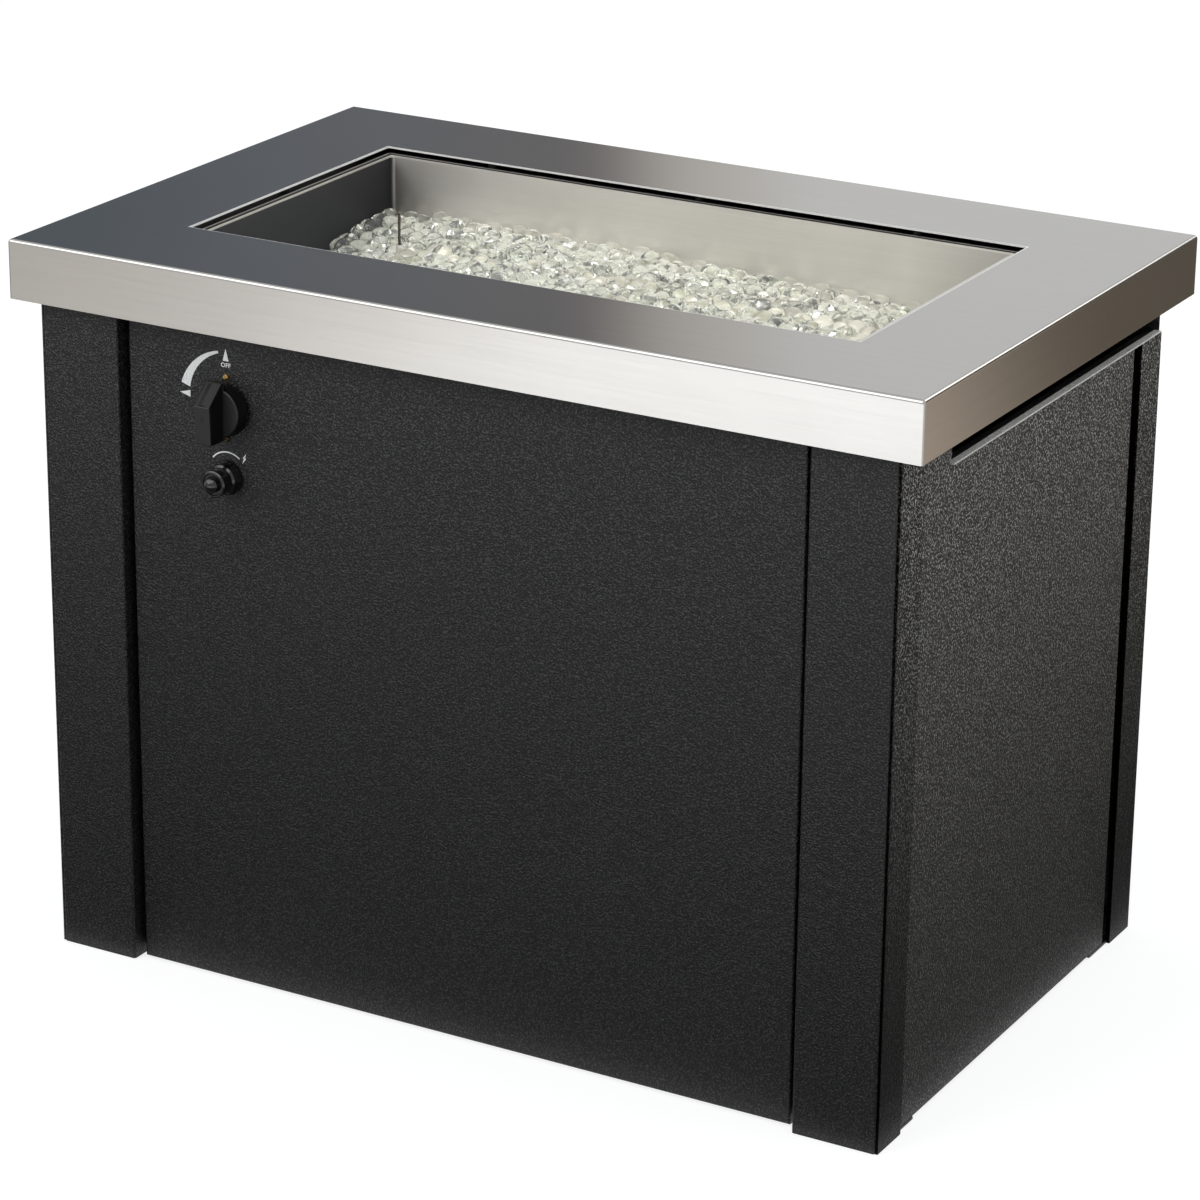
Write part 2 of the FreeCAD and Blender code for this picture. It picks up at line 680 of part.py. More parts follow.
def glass_heap(half_x, half_y, floor):
    """The heap as one closed shell: a net of small flats on top, four walls and a bottom."""
    rows = glass_rows(half_x, half_y)
    outlines = []
    for near, far in zip(rows, rows[1:]):
        short, long = (near, far) if len(near) < len(far) else (far, near)
        outlines += [[short[k], long[k], long[k + 1]] for k in range(len(short))]
        outlines += [[short[k], short[k + 1], long[k + 1]] for k in range(len(short) - 1)]
    turns = ((-1, -1), (1, -1), (1, 1), (-1, 1))
    corner = [Vector(sx * half_x, sy * half_y, floor) for sx, sy in turns]
    outlines.append(corner)
    outlines.append(rows[0] + [corner[1], corner[0]])
    outlines.append(rows[-1] + [corner[2], corner[3]])
    outlines.append([knots[0] for knots in rows] + [corner[3], corner[0]])
    outlines.append([knots[-1] for knots in rows] + [corner[2], corner[1]])
    faces = Part.makeCompound([Part.Face(Part.makePolygon(points + points[:1])) for points in outlines])
    faces.sewShape(0.001)
    heap = Part.makeSolid(faces.Shells[0])
    if heap.Volume < 0:
        heap.reverse()
    return heap


def fire_glass():
    """The glass as one body round the burner, with the lumps of the loose pieces as its surface."""
    floor = PAN_FLOOR_Z + PAN_SHEET + GLASS_GAP
    bed = glass_heap(PAN_INNER_X - GLASS_WALL_GAP, PAN_INNER_Y - GLASS_WALL_GAP, floor)
    clear = BURNER_TUBE / 2 + GLASS_GAP
    roof = BURNER_Z + clear
    hx = BURNER_LENGTH / 2
    hy = BURNER_WIDTH / 2
    channels = [box(-hx, hx, s * hy - clear, s * hy + clear, floor, roof) for s in (-1, 1)]
    channels += [box(x - clear, x + clear, -hy, hy, floor, roof) for x in (-hx, 0, hx)]
    bend_x = hx - BURNER_CORNER
    bend_y = hy - BURNER_CORNER
    for sx in (-1, 1):
        for sy in (-1, 1):
            centre = (sx * bend_x, sy * bend_y, floor)
            channels.append(rod(centre, (0, 0, 1), BURNER_CORNER + clear, roof - floor))
    reach = BURNER_WIDTH / 2 + BURNER_TUBE + GLASS_GAP
    for x in (-SADDLE_X, SADDLE_X):
        low = PAN_FLOOR_Z + PAN_SHEET
        channels.append(box(x - GLASS_GAP, x + SADDLE_WIDTH + GLASS_GAP, -reach, reach, low, BURNER_Z))
    x = ELECTRODE_X
    y = ELECTRODE_Y
    hole = CERAMIC_DIAMETER / 2 + GLASS_GAP
    channels.append(rod((x, y, floor), (0, 0, 1), hole, TABLE_HEIGHT - floor))
    foot = CERAMIC_DIAMETER + GLASS_GAP
    low = PAN_FLOOR_Z + PAN_SHEET
    channels.append(box(x - foot, x + foot, y - foot, y + 2 * foot, low, low + 4))
    return cut(bed, channels)


def electrode_bracket():
    """Small clamp plate on the pan's floor that grips the insulator."""
    x = ELECTRODE_X
    y = ELECTRODE_Y
    low = PAN_FLOOR_Z + PAN_SHEET
    side = CERAMIC_DIAMETER
    plate = box(x - side, x + side, y - side, y + 2 * side, low, low + BRACKET_SHEET)
    hole = rod((x, y, low), (0, 0, 1), CERAMIC_DIAMETER / 2 + THREAD_GAP, BRACKET_SHEET)
    return plate.cut(hole)


def spark_electrode():
    """A steel rod in a stepped ceramic insulator, with its terminal below."""
    low = PAN_FLOOR_Z - CERAMIC_BELOW
    top = PAN_FLOOR_Z + CERAMIC_TOP
    tip = TABLE_HEIGHT - ELECTRODE_TIP_DROP
    r = CERAMIC_DIAMETER / 2
    profile = [
        (0, 0),
        (0, r - 1),
        (1, r),
        (top - low - 2, r),
        (top - low, r - 1.5),
        (top - low, ELECTRODE_ROD / 2),
        (tip - low - 0.6, ELECTRODE_ROD / 2),
        (tip - low, ELECTRODE_ROD / 4),
        (tip - low, 0),
    ]
    return revolved(profile, (ELECTRODE_X, ELECTRODE_Y, low), (0, 0, 1))


def feed_elbow():
    """A bored elbow that turns the feed from the nipple to the mixer."""
    collar_top = PAN_FLOOR_Z - LOCKNUT_HEIGHT - 0.5
    turn_z = FEED_Z + ELBOW_BEND

    def quarter(radius):
        circle = Part.Wire([Part.makeCircle(radius, Vector(0, 0, turn_z), Vector(0, 0, 1))])
        return Part.Face(circle).revolve(Vector(-ELBOW_BEND, 0, turn_z), Vector(0, 1, 0), 90)

    r = ELBOW_DIAMETER / 2
    collar_r = ELBOW_COLLAR / 2
    upper = rod((0, 0, collar_top - ELBOW_COLLAR_LENGTH), (0, 0, 1), collar_r, ELBOW_COLLAR_LENGTH)
    side = rod((-ELBOW_BEND, 0, FEED_Z), (-1, 0, 0), collar_r, ELBOW_COLLAR_LENGTH)
    body = fuse([quarter(r), upper, side])
    socket = rod((0, 0, turn_z), (0, 0, 1), NIPPLE_DIAMETER / 2 + THREAD_GAP, collar_top - turn_z + 1)
    mouth_r = MIXER_DIAMETER / 2 + THREAD_GAP
    mouth = rod((-ELBOW_BEND, 0, FEED_Z), (-1, 0, 0), mouth_r, ELBOW_COLLAR_LENGTH + 1)
    return cut(body, [quarter(NIPPLE_BORE / 2), socket, mouth])


def air_mixer():
    """A waisted venturi tube with four air windows near its bell."""
    r = MIXER_DIAMETER / 2
    bore = MIXER_BORE / 2
    waist = bore - 2
    length = MIXER_LENGTH
    bell = MIXER_BELL / 2
    profile = [
        (0, bore),
        (0, r),
        (length - 26, r),
        (length - 20, bell),
        (length, bell),
        (length, FLARE_DIAMETER / 2 + THREAD_GAP),
        (length - 3, FLARE_DIAMETER / 2 + THREAD_GAP),
        (length - 3, bell - 2),
        (length - 20, bell - 2),
        (length - 32, waist),
        (14, bore),
    ]
    tube = revolved(profile, (-ELBOW_BEND, 0, FEED_Z), (-1, 0, 0))
    x0 = MIXER_MOUTH_X + 4
    x1 = x0 + AIR_SLOT_LENGTH
    half = AIR_SLOT_WIDTH / 2
    windows = [
        box(x0, x1, -half, half, FEED_Z - bell - 1, FEED_Z + bell + 1),
        box(x0, x1, -bell - 1, bell + 1, FEED_Z - half, FEED_Z + half),
    ]
    return cut(tube, windows)


def gas_orifice():
    """Brass spud: a nose inside the mixer, a hexagon and a flare end for the gas line."""
    nose = rod((MIXER_MOUTH_X + 9, 0, FEED_Z), (-1, 0, 0), FLARE_DIAMETER / 2, 9)
    hexa = hexagon((MIXER_MOUTH_X - ORIFICE_HEX, 0, FEED_Z), (1, 0, 0), ORIFICE_FLATS, ORIFICE_HEX)
    flare = rod((MIXER_MOUTH_X - ORIFICE_HEX, 0, FEED_Z), (-1, 0, 0), FLARE_DIAMETER / 2, FLARE_LENGTH)
    flare = flare.makeChamfer(2, [e for e in flare.Edges if on_level(e, "x", ORIFICE_END_X)])
    drill = rod((MIXER_MOUTH_X + 9, 0, FEED_Z), (-1, 0, 0), 0.75, 8)
    bore = rod((ORIFICE_END_X, 0, FEED_Z), (1, 0, 0), 2.5, ORIFICE_HEX + FLARE_LENGTH)
    return cut(fuse([nose, hexa, flare]), [drill, bore])


def line_nut(start, direction):
    """Flare nut: its skirt covers the fitting and its neck runs on the line."""
    r = FLARE_DIAMETER / 2
    nut = hexagon(start, direction, LINE_NUT_FLATS, LINE_NUT_LENGTH)
    skirt = rod(start, direction, r + THREAD_GAP, FLARE_LENGTH - 2)
    neck = rod(start, direction, GAS_LINE_DIAMETER / 2 + THREAD_GAP, LINE_NUT_LENGTH)
    return cut(nut, [skirt, neck])


def gas_line_route():
    """From the valve's outlet, towards the rear, round to the orifice below the burner."""
    start = (CONTROL_X, VALVE_BACK_Y + FLARE_LENGTH, FEED_Z)
    end = (ORIFICE_END_X, 0, FEED_Z)
    return [
        start,
        (CONTROL_X, -130, FEED_Z),
        (CONTROL_X + 5, -50, FEED_Z),
        (CONTROL_X + 42, 0, FEED_Z),
        end,
    ]


def gas_line():
    return tube_along(gas_line_route(), GAS_LINE_DIAMETER, "gas line")


def gas_line_nuts():
    at_valve = line_nut((CONTROL_X, VALVE_BACK_Y + 2, FEED_Z), (0, 1, 0))
    at_orifice = line_nut((ORIFICE_END_X + FLARE_LENGTH - 2, 0, FEED_Z), (-1, 0, 0))
    return Part.makeCompound([at_valve, at_orifice])


def heat_shield():
    """A bridge of thin sheet under the pan that keeps its heat off the gas cylinder."""
    t = SHIELD_SHEET
    x0 = SHIELD_NEAR_X
    x1 = SHIELD_NEAR_X + SHIELD_LENGTH
    top = PAN_FLOOR_Z
    low = PAN_FLOOR_Z - SHIELD_DROP
    outline = [
        (x0 - SHIELD_FOOT, top),
        (x0 + t, top),
        (x0 + t, low + t),
        (x1 - t, low + t),
        (x1 - t, top),
        (x1 + SHIELD_FOOT, top),
        (x1 + SHIELD_FOOT, top - t),
        (x1, top - t),
        (x1, low),
        (x0, low),
        (x0, top - t),
        (x0 - SHIELD_FOOT, top - t),
    ]
    return prism_xz(outline, -SHIELD_DEPTH / 2, SHIELD_DEPTH / 2)


def corner_post(side_leg_top):
    """Front right post: a wide front leg with a return at its edge, and a side leg behind the strip."""
    t = POST_SHEET
    inner_x = BASE_X - POST_FACE
    outer_x = BASE_X - t
    top = DECK - t
    low = GLIDE_STANDOFF
    block = box(inner_x, outer_x, -BASE_Y, -STRIP_EDGE_Y, low, DECK)
    bends = [e for e in block.Edges if along(e, "z") and on_level(e, "y", -BASE_Y)]
    block = block.makeFillet(POST_BEND, bends)
    hollow = box(inner_x + t, outer_x - t, -BASE_Y + t, -STRIP_EDGE_Y + 1, low - 1, DECK + 1)
    trim = [
        box(outer_x - t - 1, outer_x + 1, -BASE_Y + t, -STRIP_EDGE_Y + 1, side_leg_top, DECK + 1),
        box(inner_x - 1, inner_x + t + 1, -BASE_Y + POST_RETURN, -STRIP_EDGE_Y + 1, low - 1, DECK + 1),
    ]
    tab = box(inner_x + t + 4, outer_x - t - 4, -BASE_Y + t, -BASE_Y + t + POST_TAB, top, DECK)
    x = BASE_X - POST_FACE / 2
    y = -(POST_INNER_Y - POST_TAB / 2)
    hole = rod((x, y, top - 1), (0, 0, 1), STUD_DIAMETER / 2 + 0.3, t + 2)
    return fuse([cut(block, [hollow] + trim), tab]).cut(hole)


def side_strip(top):
    """Front right strip: the flat face that covers the post's side leg."""
    strip = box(BASE_X - POST_SHEET, BASE_X, -BASE_Y + SEAM, -STRIP_EDGE_Y, GLIDE_STANDOFF, top)
    edge = [e for e in strip.Edges if along(e, "z") and on_level(e, "x", BASE_X)]
    return strip.makeFillet(0.6, edge)


def corner_glide():
    """Front right glide: a plastic pad in the corner of the post, which the base stands on."""
    x = POST_INNER_X
    y = -POST_INNER_Y
    pad = box(x - GLIDE_SIZE, x, y, y + GLIDE_SIZE, 0, GLIDE_HEIGHT)
    foot = [e for e in pad.Edges if on_level(e, "z", 0)]
    return pad.makeChamfer(0.8, foot)


def plain_panel(side):
    """Tray with its long edges folded twice, so that a lip lies flat on the frame behind."""
    width = (-PANEL_HALF, PANEL_HALF)
    height = (PANEL_FLOOR_GAP, PANEL_TOP)
    tray = folded_tray("y", side, width, height, -side * PANEL_Y, PANEL_RETURN)
    low = SHELF_TOP
    high = PANEL_TOP - RAIL_HEIGHT
    inner = PANEL_HALF - PANEL_LIP
    back = side * FRAME_Y
    front = side * (FRAME_Y + PANEL_SHEET)
    lips = [box(s * PANEL_HALF, s * inner, back, front, low, high) for s in (-1, 1)]
    holes = [
        rod((x, side * (FRAME_Y - 1), z), (0, side, 0), SCREW_DIAMETER / 2 + THREAD_GAP, PANEL_SHEET + 2)
        for x, z in panel_screw_places()
    ]
    return cut(fuse([tray] + lips), holes)


def front_panel():
    """Front panel, with the holes for the valve and the igniter."""
    front = PANEL_Y - 1
    deep = PANEL_SHEET + 2
    holes = [rod((CONTROL_X, front, KNOB_Z), (0, 1, 0), STEM_HOLE / 2 + 1, deep)]
    holes.append(rod((CONTROL_X, front, IGNITER_Z), (0, 1, 0), IGNITER_BARREL / 2 + 0.2, deep))
    for side in (-1, 1):
        z = KNOB_Z + side * VALVE_SCREW_PITCH / 2
        holes.append(rod((CONTROL_X, front, z), (0, 1, 0), VALVE_SCREW / 2 + THREAD_GAP, deep))
    return cut(plain_panel(-1), holes)


def left_panel():
    """Fixed tray on the left side, under the left header."""
    reach = STRIP_EDGE_Y - DOOR_HINGE_GAP
    depth = DOOR_X - HEADER_LEG_X
    return folded_tray("x", -1, (-reach, reach), (DOOR_FLOOR_GAP, HEADER_UNDER), -DOOR_X, depth)


def inner_frame(side):
    """Welded frame behind a panel: a channel at the top and two uprights of Z section from post to panel."""
    t = RAIL_SHEET
    top = PANEL_TOP
    low = top - RAIL_HEIGHT
    foot = SHELF_TOP - SHELF_FLANGE
    x = POST_INNER_X
    rail = box(-x, x, side * FRAME_Y, side * (FRAME_Y - RAIL_DEPTH), low, top)
    hollow = box(-x + t, x - t, side * (FRAME_Y - t), side * (FRAME_Y - RAIL_DEPTH - t), low + t, top - t)
    web_x = PANEL_HALF + PANEL_GAP + UPRIGHT_SETBACK
    near_x = PANEL_HALF - PANEL_LIP
    post_y = side * POST_INNER_Y
    back_y = side * (FRAME_Y - t)
    uprights = []
    for s in (-1, 1):
        inner_x = s * (web_x - t)
        uprights.append(box(s * near_x, s * web_x, side * FRAME_Y, back_y, foot, low))
        uprights.append(box(s * web_x, inner_x, post_y, back_y, foot, low))
        uprights.append(box(inner_x, s * (web_x + UPRIGHT_FOOT), post_y, post_y - side * t, foot, low))
    holes = [
        rod((x, side * (FRAME_Y + 1), z), (0, -side, 0), SCREW_DIAMETER / 2 + THREAD_GAP, t + 2)
        for x, z in panel_screw_places()
    ]
    return cut(fuse([rail.cut(hollow)] + uprights), holes)


def panel_screw_places():
    """Three screws up each side of a panel."""
    x = PANEL_HALF - PANEL_SHEET - PANEL_LIP / 2 + 1
    heights = (SHELF_TOP + 30, PANEL_TOP / 2, PANEL_TOP - RAIL_HEIGHT - 40)
    return [(s * x, z) for s in (-1, 1) for z in heights]


def panel_screws():
    """Screws driven from inside through the frames into the lips of both panels."""
    made = []
    for side in (-1, 1):
        seat = side * (FRAME_Y - RAIL_SHEET)
        for x, z in panel_screw_places():
            head = rod((x, seat, z), (0, -side, 0), SCREW_HEAD / 2, SCREW_HEAD_HEIGHT)
            top = seat - side * SCREW_HEAD_HEIGHT
            head = head.makeFillet(0.9, [e for e in head.Edges if on_level(e, "y", top)])
            shank = rod((x, top, z), (0, side, 0), SCREW_DIAMETER / 2, SCREW_HEAD_HEIGHT + RAIL_SHEET + 5)
            made.append(head.fuse(shank))
    return Part.makeCompound(made)


def header_rail(lip_near, lip_far):
    """Right header: an angle whose lip covers the side below the vent gap and whose leg stiffens it."""
    inner = HEADER_LEG_X - HEADER_SHEET
    leg = box(inner, HEADER_LEG_X, -POST_INNER_Y, POST_INNER_Y, HEADER_Z - HEADER_LEG, HEADER_Z)
    lip = box(inner, BASE_X, lip_near, lip_far, HEADER_UNDER, HEADER_Z)
    edge = [e for e in lip.Edges if along(e, "y") and on_level(e, "x", BASE_X)]
    return fuse([leg, lip.makeFillet(0.6, edge)])


def access_door():
    """Folded tray with a tall tab at its hinge side, which passes outside the header's end."""
    x = DOOR_X
    t = PANEL_SHEET
    tray = folded_tray("x", 1, (DOOR_NEAR_Y, DOOR_FAR_Y), (DOOR_FLOOR_GAP, DOOR_TAB_TOP), x, DOOR_RETURN)
    above = box(x - 20, x + 1, DOOR_TAB_Y, DOOR_FAR_Y + 1, DOOR_TOP, DOOR_TAB_TOP + 1)
    top_flange = box(x - DOOR_RETURN, x - t / 2, DOOR_TAB_Y - t, DOOR_FAR_Y - t / 2, DOOR_TOP - t, DOOR_TOP)
    r = DOOR_TAB_ROUND
    centre_y = DOOR_TAB_Y - r
    centre_z = DOOR_TAB_TOP - r
    rounding = box(x - 20, x + 1, centre_y, DOOR_TAB_Y + 1, centre_z, DOOR_TAB_TOP + 1)
    rounding = rounding.cut(rod((x - 21, centre_y, centre_z), (1, 0, 0), r, 23))
    inner = x - DOOR_RETURN
    relief = DOOR_RETURN - HINGE_RETURN
    outline = [
        (inner - 1, DOOR_NEAR_Y - 1),
        (inner + relief, DOOR_NEAR_Y - 1),
        (inner + relief, DOOR_NEAR_Y),
        (inner - 1, DOOR_NEAR_Y + relief + 1),
    ]
    corner = prism_xy(outline, 0, TABLE_HEIGHT)
    pin = HINGE_PIN / 2 + THREAD_GAP
    low = DOOR_FLOOR_GAP - 1
    high = DOOR_TAB_TOP - t - 1
    holes = [rod((HINGE_X, HINGE_Y, z), (0, 0, 1), pin, t + 2) for z in (low, high)]
    return cut(fuse([tray.cut(above), top_flange]), [rounding, corner] + holes)


def hinge_pins():
    """Headed pins that stand in the door's flanges and turn in the brackets."""
    r = HINGE_PIN / 2
    head = HINGE_HEAD / 2
    h = HINGE_HEAD_HEIGHT
    bracket_top = DOOR_FLOOR_GAP - BRACKET_GAP
    low = bracket_top - BRACKET_THICKNESS
    on_flange = DOOR_FLOOR_GAP + PANEL_SHEET
    lower = fuse([
        rod((HINGE_X, HINGE_Y, low), (0, 0, 1), r, on_flange - low + h / 2),
        rod((HINGE_X, HINGE_Y, on_flange), (0, 0, 1), head, h),
    ])
    under = DOOR_TAB_TOP - PANEL_SHEET
    high = DOOR_TAB_TOP + BRACKET_GAP + BRACKET_THICKNESS + 0.6
    upper = fuse([
        rod((HINGE_X, HINGE_Y, under - h / 2), (0, 0, 1), r, high - under + h / 2),
        rod((HINGE_X, HINGE_Y, under - h), (0, 0, 1), head, h),
    ])
    return Part.makeCompound([lower, upper])


def corner_bracket(plate_low, leg_up, reach_y):
    """Front right bracket: a level plate with a leg that lies against the post's side leg."""
    x = POST_INNER_X
    plate_high = plate_low + BRACKET_THICKNESS
    outer = DOOR_X - 0.5
    y0 = -POST_INNER_Y + GLIDE_SIZE + 0.5
    plate = box(outer - BRACKET_REACH, outer, -STRIP_EDGE_Y + 0.5, reach_y, plate_low, plate_high)
    root = box(outer - BRACKET_REACH, x, y0, -STRIP_EDGE_Y + 1, plate_low, plate_high)
    leg_low = plate_low if leg_up else plate_high - BRACKET_LEG
    leg = box(x - BRACKET_THICKNESS, x, y0, -STRIP_EDGE_Y - 2, leg_low, leg_low + BRACKET_LEG)
    return fuse([plate, root, leg])


def hinge_brackets():
    hole = HINGE_PIN / 2 + THREAD_GAP
    low_z = DOOR_FLOOR_GAP - BRACKET_GAP - BRACKET_THICKNESS
    high_z = DOOR_TAB_TOP + BRACKET_GAP
    lower = corner_bracket(low_z, True, -STRIP_EDGE_Y + BRACKET_SHOW)
    upper = corner_bracket(high_z, False, HINGE_Y + HINGE_PIN)
    made = []
    for bracket, z in ((lower, low_z), (upper, high_z)):
        made.append(bracket.cut(rod((HINGE_X, HINGE_Y, z - 1), (0, 0, 1), hole, BRACKET_THICKNESS + 2)))
    return made


def door_rest():
    """Twin of the lower bracket at the rear post, under the door's free corner."""
    low_z = DOOR_FLOOR_GAP - BRACKET_GAP - BRACKET_THICKNESS
    return mirrored_y(corner_bracket(low_z, True, -STRIP_EDGE_Y + BRACKET_SHOW + DOOR_FINGER_GAP))


def catch_span():
    far = DOOR_FAR_Y - CATCH_FROM_EDGE
    return far - CATCH_LENGTH, far


def magnet_catch():
    """Magnet block on the header's leg, which meets the strike plate on the door."""
    y0, y1 = catch_span()
    front = DOOR_X - PANEL_SHEET - STRIKE_SHEET - BRACKET_GAP
    z1 = DOOR_TOP - PANEL_SHEET - 1
    block = box(HEADER_LEG_X, front, y0, y1, z1 - CATCH_HEIGHT, z1)
    return block.makeFillet(0.8, [e for e in block.Edges if on_level(e, "x", front)])


def strike_plate():
    y0, y1 = catch_span()
    back = DOOR_X - PANEL_SHEET
    z1 = DOOR_TOP - PANEL_SHEET - 1
    return box(back - STRIKE_SHEET, back, y0 - 5, y1 + 5, z1 - CATCH_HEIGHT, z1)


def floor_shelf():
    """Tray floor on which the gas cylinder stands, with vent slots and tabs round its foot ring."""
    t = SHELF_SHEET
    face = FRAME_Y - RAIL_SHEET
    left = -HEADER_LEG_X
    right = HEADER_LEG_X - SHELF_DOOR_SPACE
    end = STRIP_EDGE_Y + SHELF_CLEARANCE
    top = SHELF_TOP
    low = SHELF_TOP - SHELF_FLANGE
    plate = box(left, right, -face, face, top - t, top)
    reach = POST_INNER_X - GLIDE_SIZE - SHELF_CLEARANCE
    flanges = [box(-reach, reach, s * face, s * (face - t), low, top) for s in (-1, 1)]
    flanges += [box(x, x - math.copysign(t, x), -end, end, low, top) for x in (left, right)]
    locators = []
    inner = FOOT_RING / 2
    half = LOCATOR_WIDTH / 2
    for k in range(4):
        tab = box(inner, inner + LOCATOR_SHEET, -half, half, top - t, top + LOCATOR_HEIGHT)
        tab.rotate(Vector(0, 0, 0), Vector(0, 0, 1), 45 + 90 * k)
        tab.translate(Vector(BAY_X, 0, 0))
        locators.append(tab)
    slots = []
    for x in (left + 40, BAY_X - VENT_SLOT_LENGTH / 2):
        for k in range(-2, 3):
            y = k * VENT_SLOT_PITCH - VENT_SLOT_WIDTH / 2
            slots.append(box(x, x + VENT_SLOT_LENGTH, y, y + VENT_SLOT_WIDTH, top - t - 1, top + 1))
    return cut(fuse([plate] + flanges + locators), slots)


def valve_body():
    """Brass body with two ears, a hollow for the rotor, a side inlet and a rear outlet."""
    face = PANEL_Y + PANEL_SHEET
    r = VALVE_BODY / 2
    half = VALVE_SCREW_PITCH / 2
    ear = VALVE_EAR_WIDTH / 2
    thick = VALVE_EAR_THICKNESS
    plate = box(CONTROL_X - ear, CONTROL_X + ear, face, face + thick, KNOB_Z - half, KNOB_Z + half)
    ends = [rod((CONTROL_X, face, KNOB_Z + s * half), (0, 1, 0), ear, thick) for s in (-1, 1)]
    barrel = rod((CONTROL_X, face, KNOB_Z), (0, 1, 0), r, VALVE_LENGTH)
    barrel = barrel.makeChamfer(1.5, [e for e in barrel.Edges if on_level(e, "y", face + VALVE_LENGTH)])
    outlet = rod((CONTROL_X, VALVE_BACK_Y - 1, KNOB_Z), (0, 1, 0), FLARE_DIAMETER / 2, FLARE_LENGTH + 1)
    inlet_y = face + VALVE_LENGTH / 2
    inlet = rod((CONTROL_X - r + 3, inlet_y, KNOB_Z), (-1, 0, 0), INLET_DIAMETER / 2, INLET_LENGTH + 3)
    flat = hexagon((CONTROL_X - r - 5, inlet_y, KNOB_Z), (1, 0, 0), INLET_DIAMETER + 3, 8)
    solid = fuse([plate] + ends + [barrel, outlet, inlet, flat])
    cavity = rod((CONTROL_X, face + 4, KNOB_Z), (0, 1, 0), VALVE_CAVITY / 2, VALVE_LENGTH - 7)
    stem = rod((CONTROL_X, face - 1, KNOB_Z), (0, 1, 0), STEM_HOLE / 2, 8)
    passage = rod((CONTROL_X, face + 10, KNOB_Z), (0, 1, 0), 2.5, VALVE_LENGTH + FLARE_LENGTH)
    feed = rod((CONTROL_X, inlet_y, KNOB_Z), (-1, 0, 0), 4.0, r + INLET_LENGTH)
    tap = VALVE_SCREW / 2 + THREAD_GAP
    screws = [rod((CONTROL_X, face - 1, KNOB_Z + s * half), (0, 1, 0), tap, 6) for s in (-1, 1)]
    return cut(solid, [cavity, stem, passage, feed] + screws)


def valve_rotor():
    """Turning plug with the slot that the stem's tang slides in."""
    start = PANEL_Y + PANEL_SHEET + VALVE_LENGTH - 3.2 - ROTOR_LENGTH
    r = VALVE_CAVITY / 2 - THREAD_GAP
    plug = rod((CONTROL_X, start, KNOB_Z), (0, 1, 0), r, ROTOR_LENGTH)
    half = TANG_THICKNESS / 2 + THREAD_GAP
    wide = STEM_DIAMETER / 2 + 0.2
    slot = box(CONTROL_X - half, CONTROL_X + half, start - 1, start + 8, KNOB_Z - wide, KNOB_Z + wide)
    return plug.cut(slot)


def valve_stem():
    """Steel stem: a flatted end for the knob, a collar for the spring and a tang for the rotor."""
    r = STEM_DIAMETER / 2
    start = PANEL_Y - 22
    collar = PANEL_Y + 6.5
    tang_end = PANEL_Y + 20
    shaft = rod((CONTROL_X, start, KNOB_Z), (0, 1, 0), r, tang_end - start)
    ring = rod((CONTROL_X, collar, KNOB_Z), (0, 1, 0), STEM_COLLAR / 2, 2)
    x = CONTROL_X
    wide = r + 1
    low = KNOB_Z - wide
    half = TANG_THICKNESS / 2
    flats = [
        box(x + s * half, x + s * wide, collar + 6, tang_end + 1, low, KNOB_Z + wide) for s in (-1, 1)
    ]
    dee = box(x - wide, x + wide, start - 1, start + 14, low, KNOB_Z - r + STEM_FLAT)
    return cut(fuse([shaft, ring]), flats + [dee])


def valve_spring():
    start = PANEL_Y + 6.5 + 2 + SPRING_WIRE / 2 + 0.1
    end = PANEL_Y + PANEL_SHEET + VALVE_LENGTH - 3.2 - ROTOR_LENGTH - SPRING_WIRE / 2 - 0.1
    return coil_spring((CONTROL_X, start, KNOB_Z), (0, 1, 0), STEM_DIAMETER / 2 + 1.2, end - start, 3)


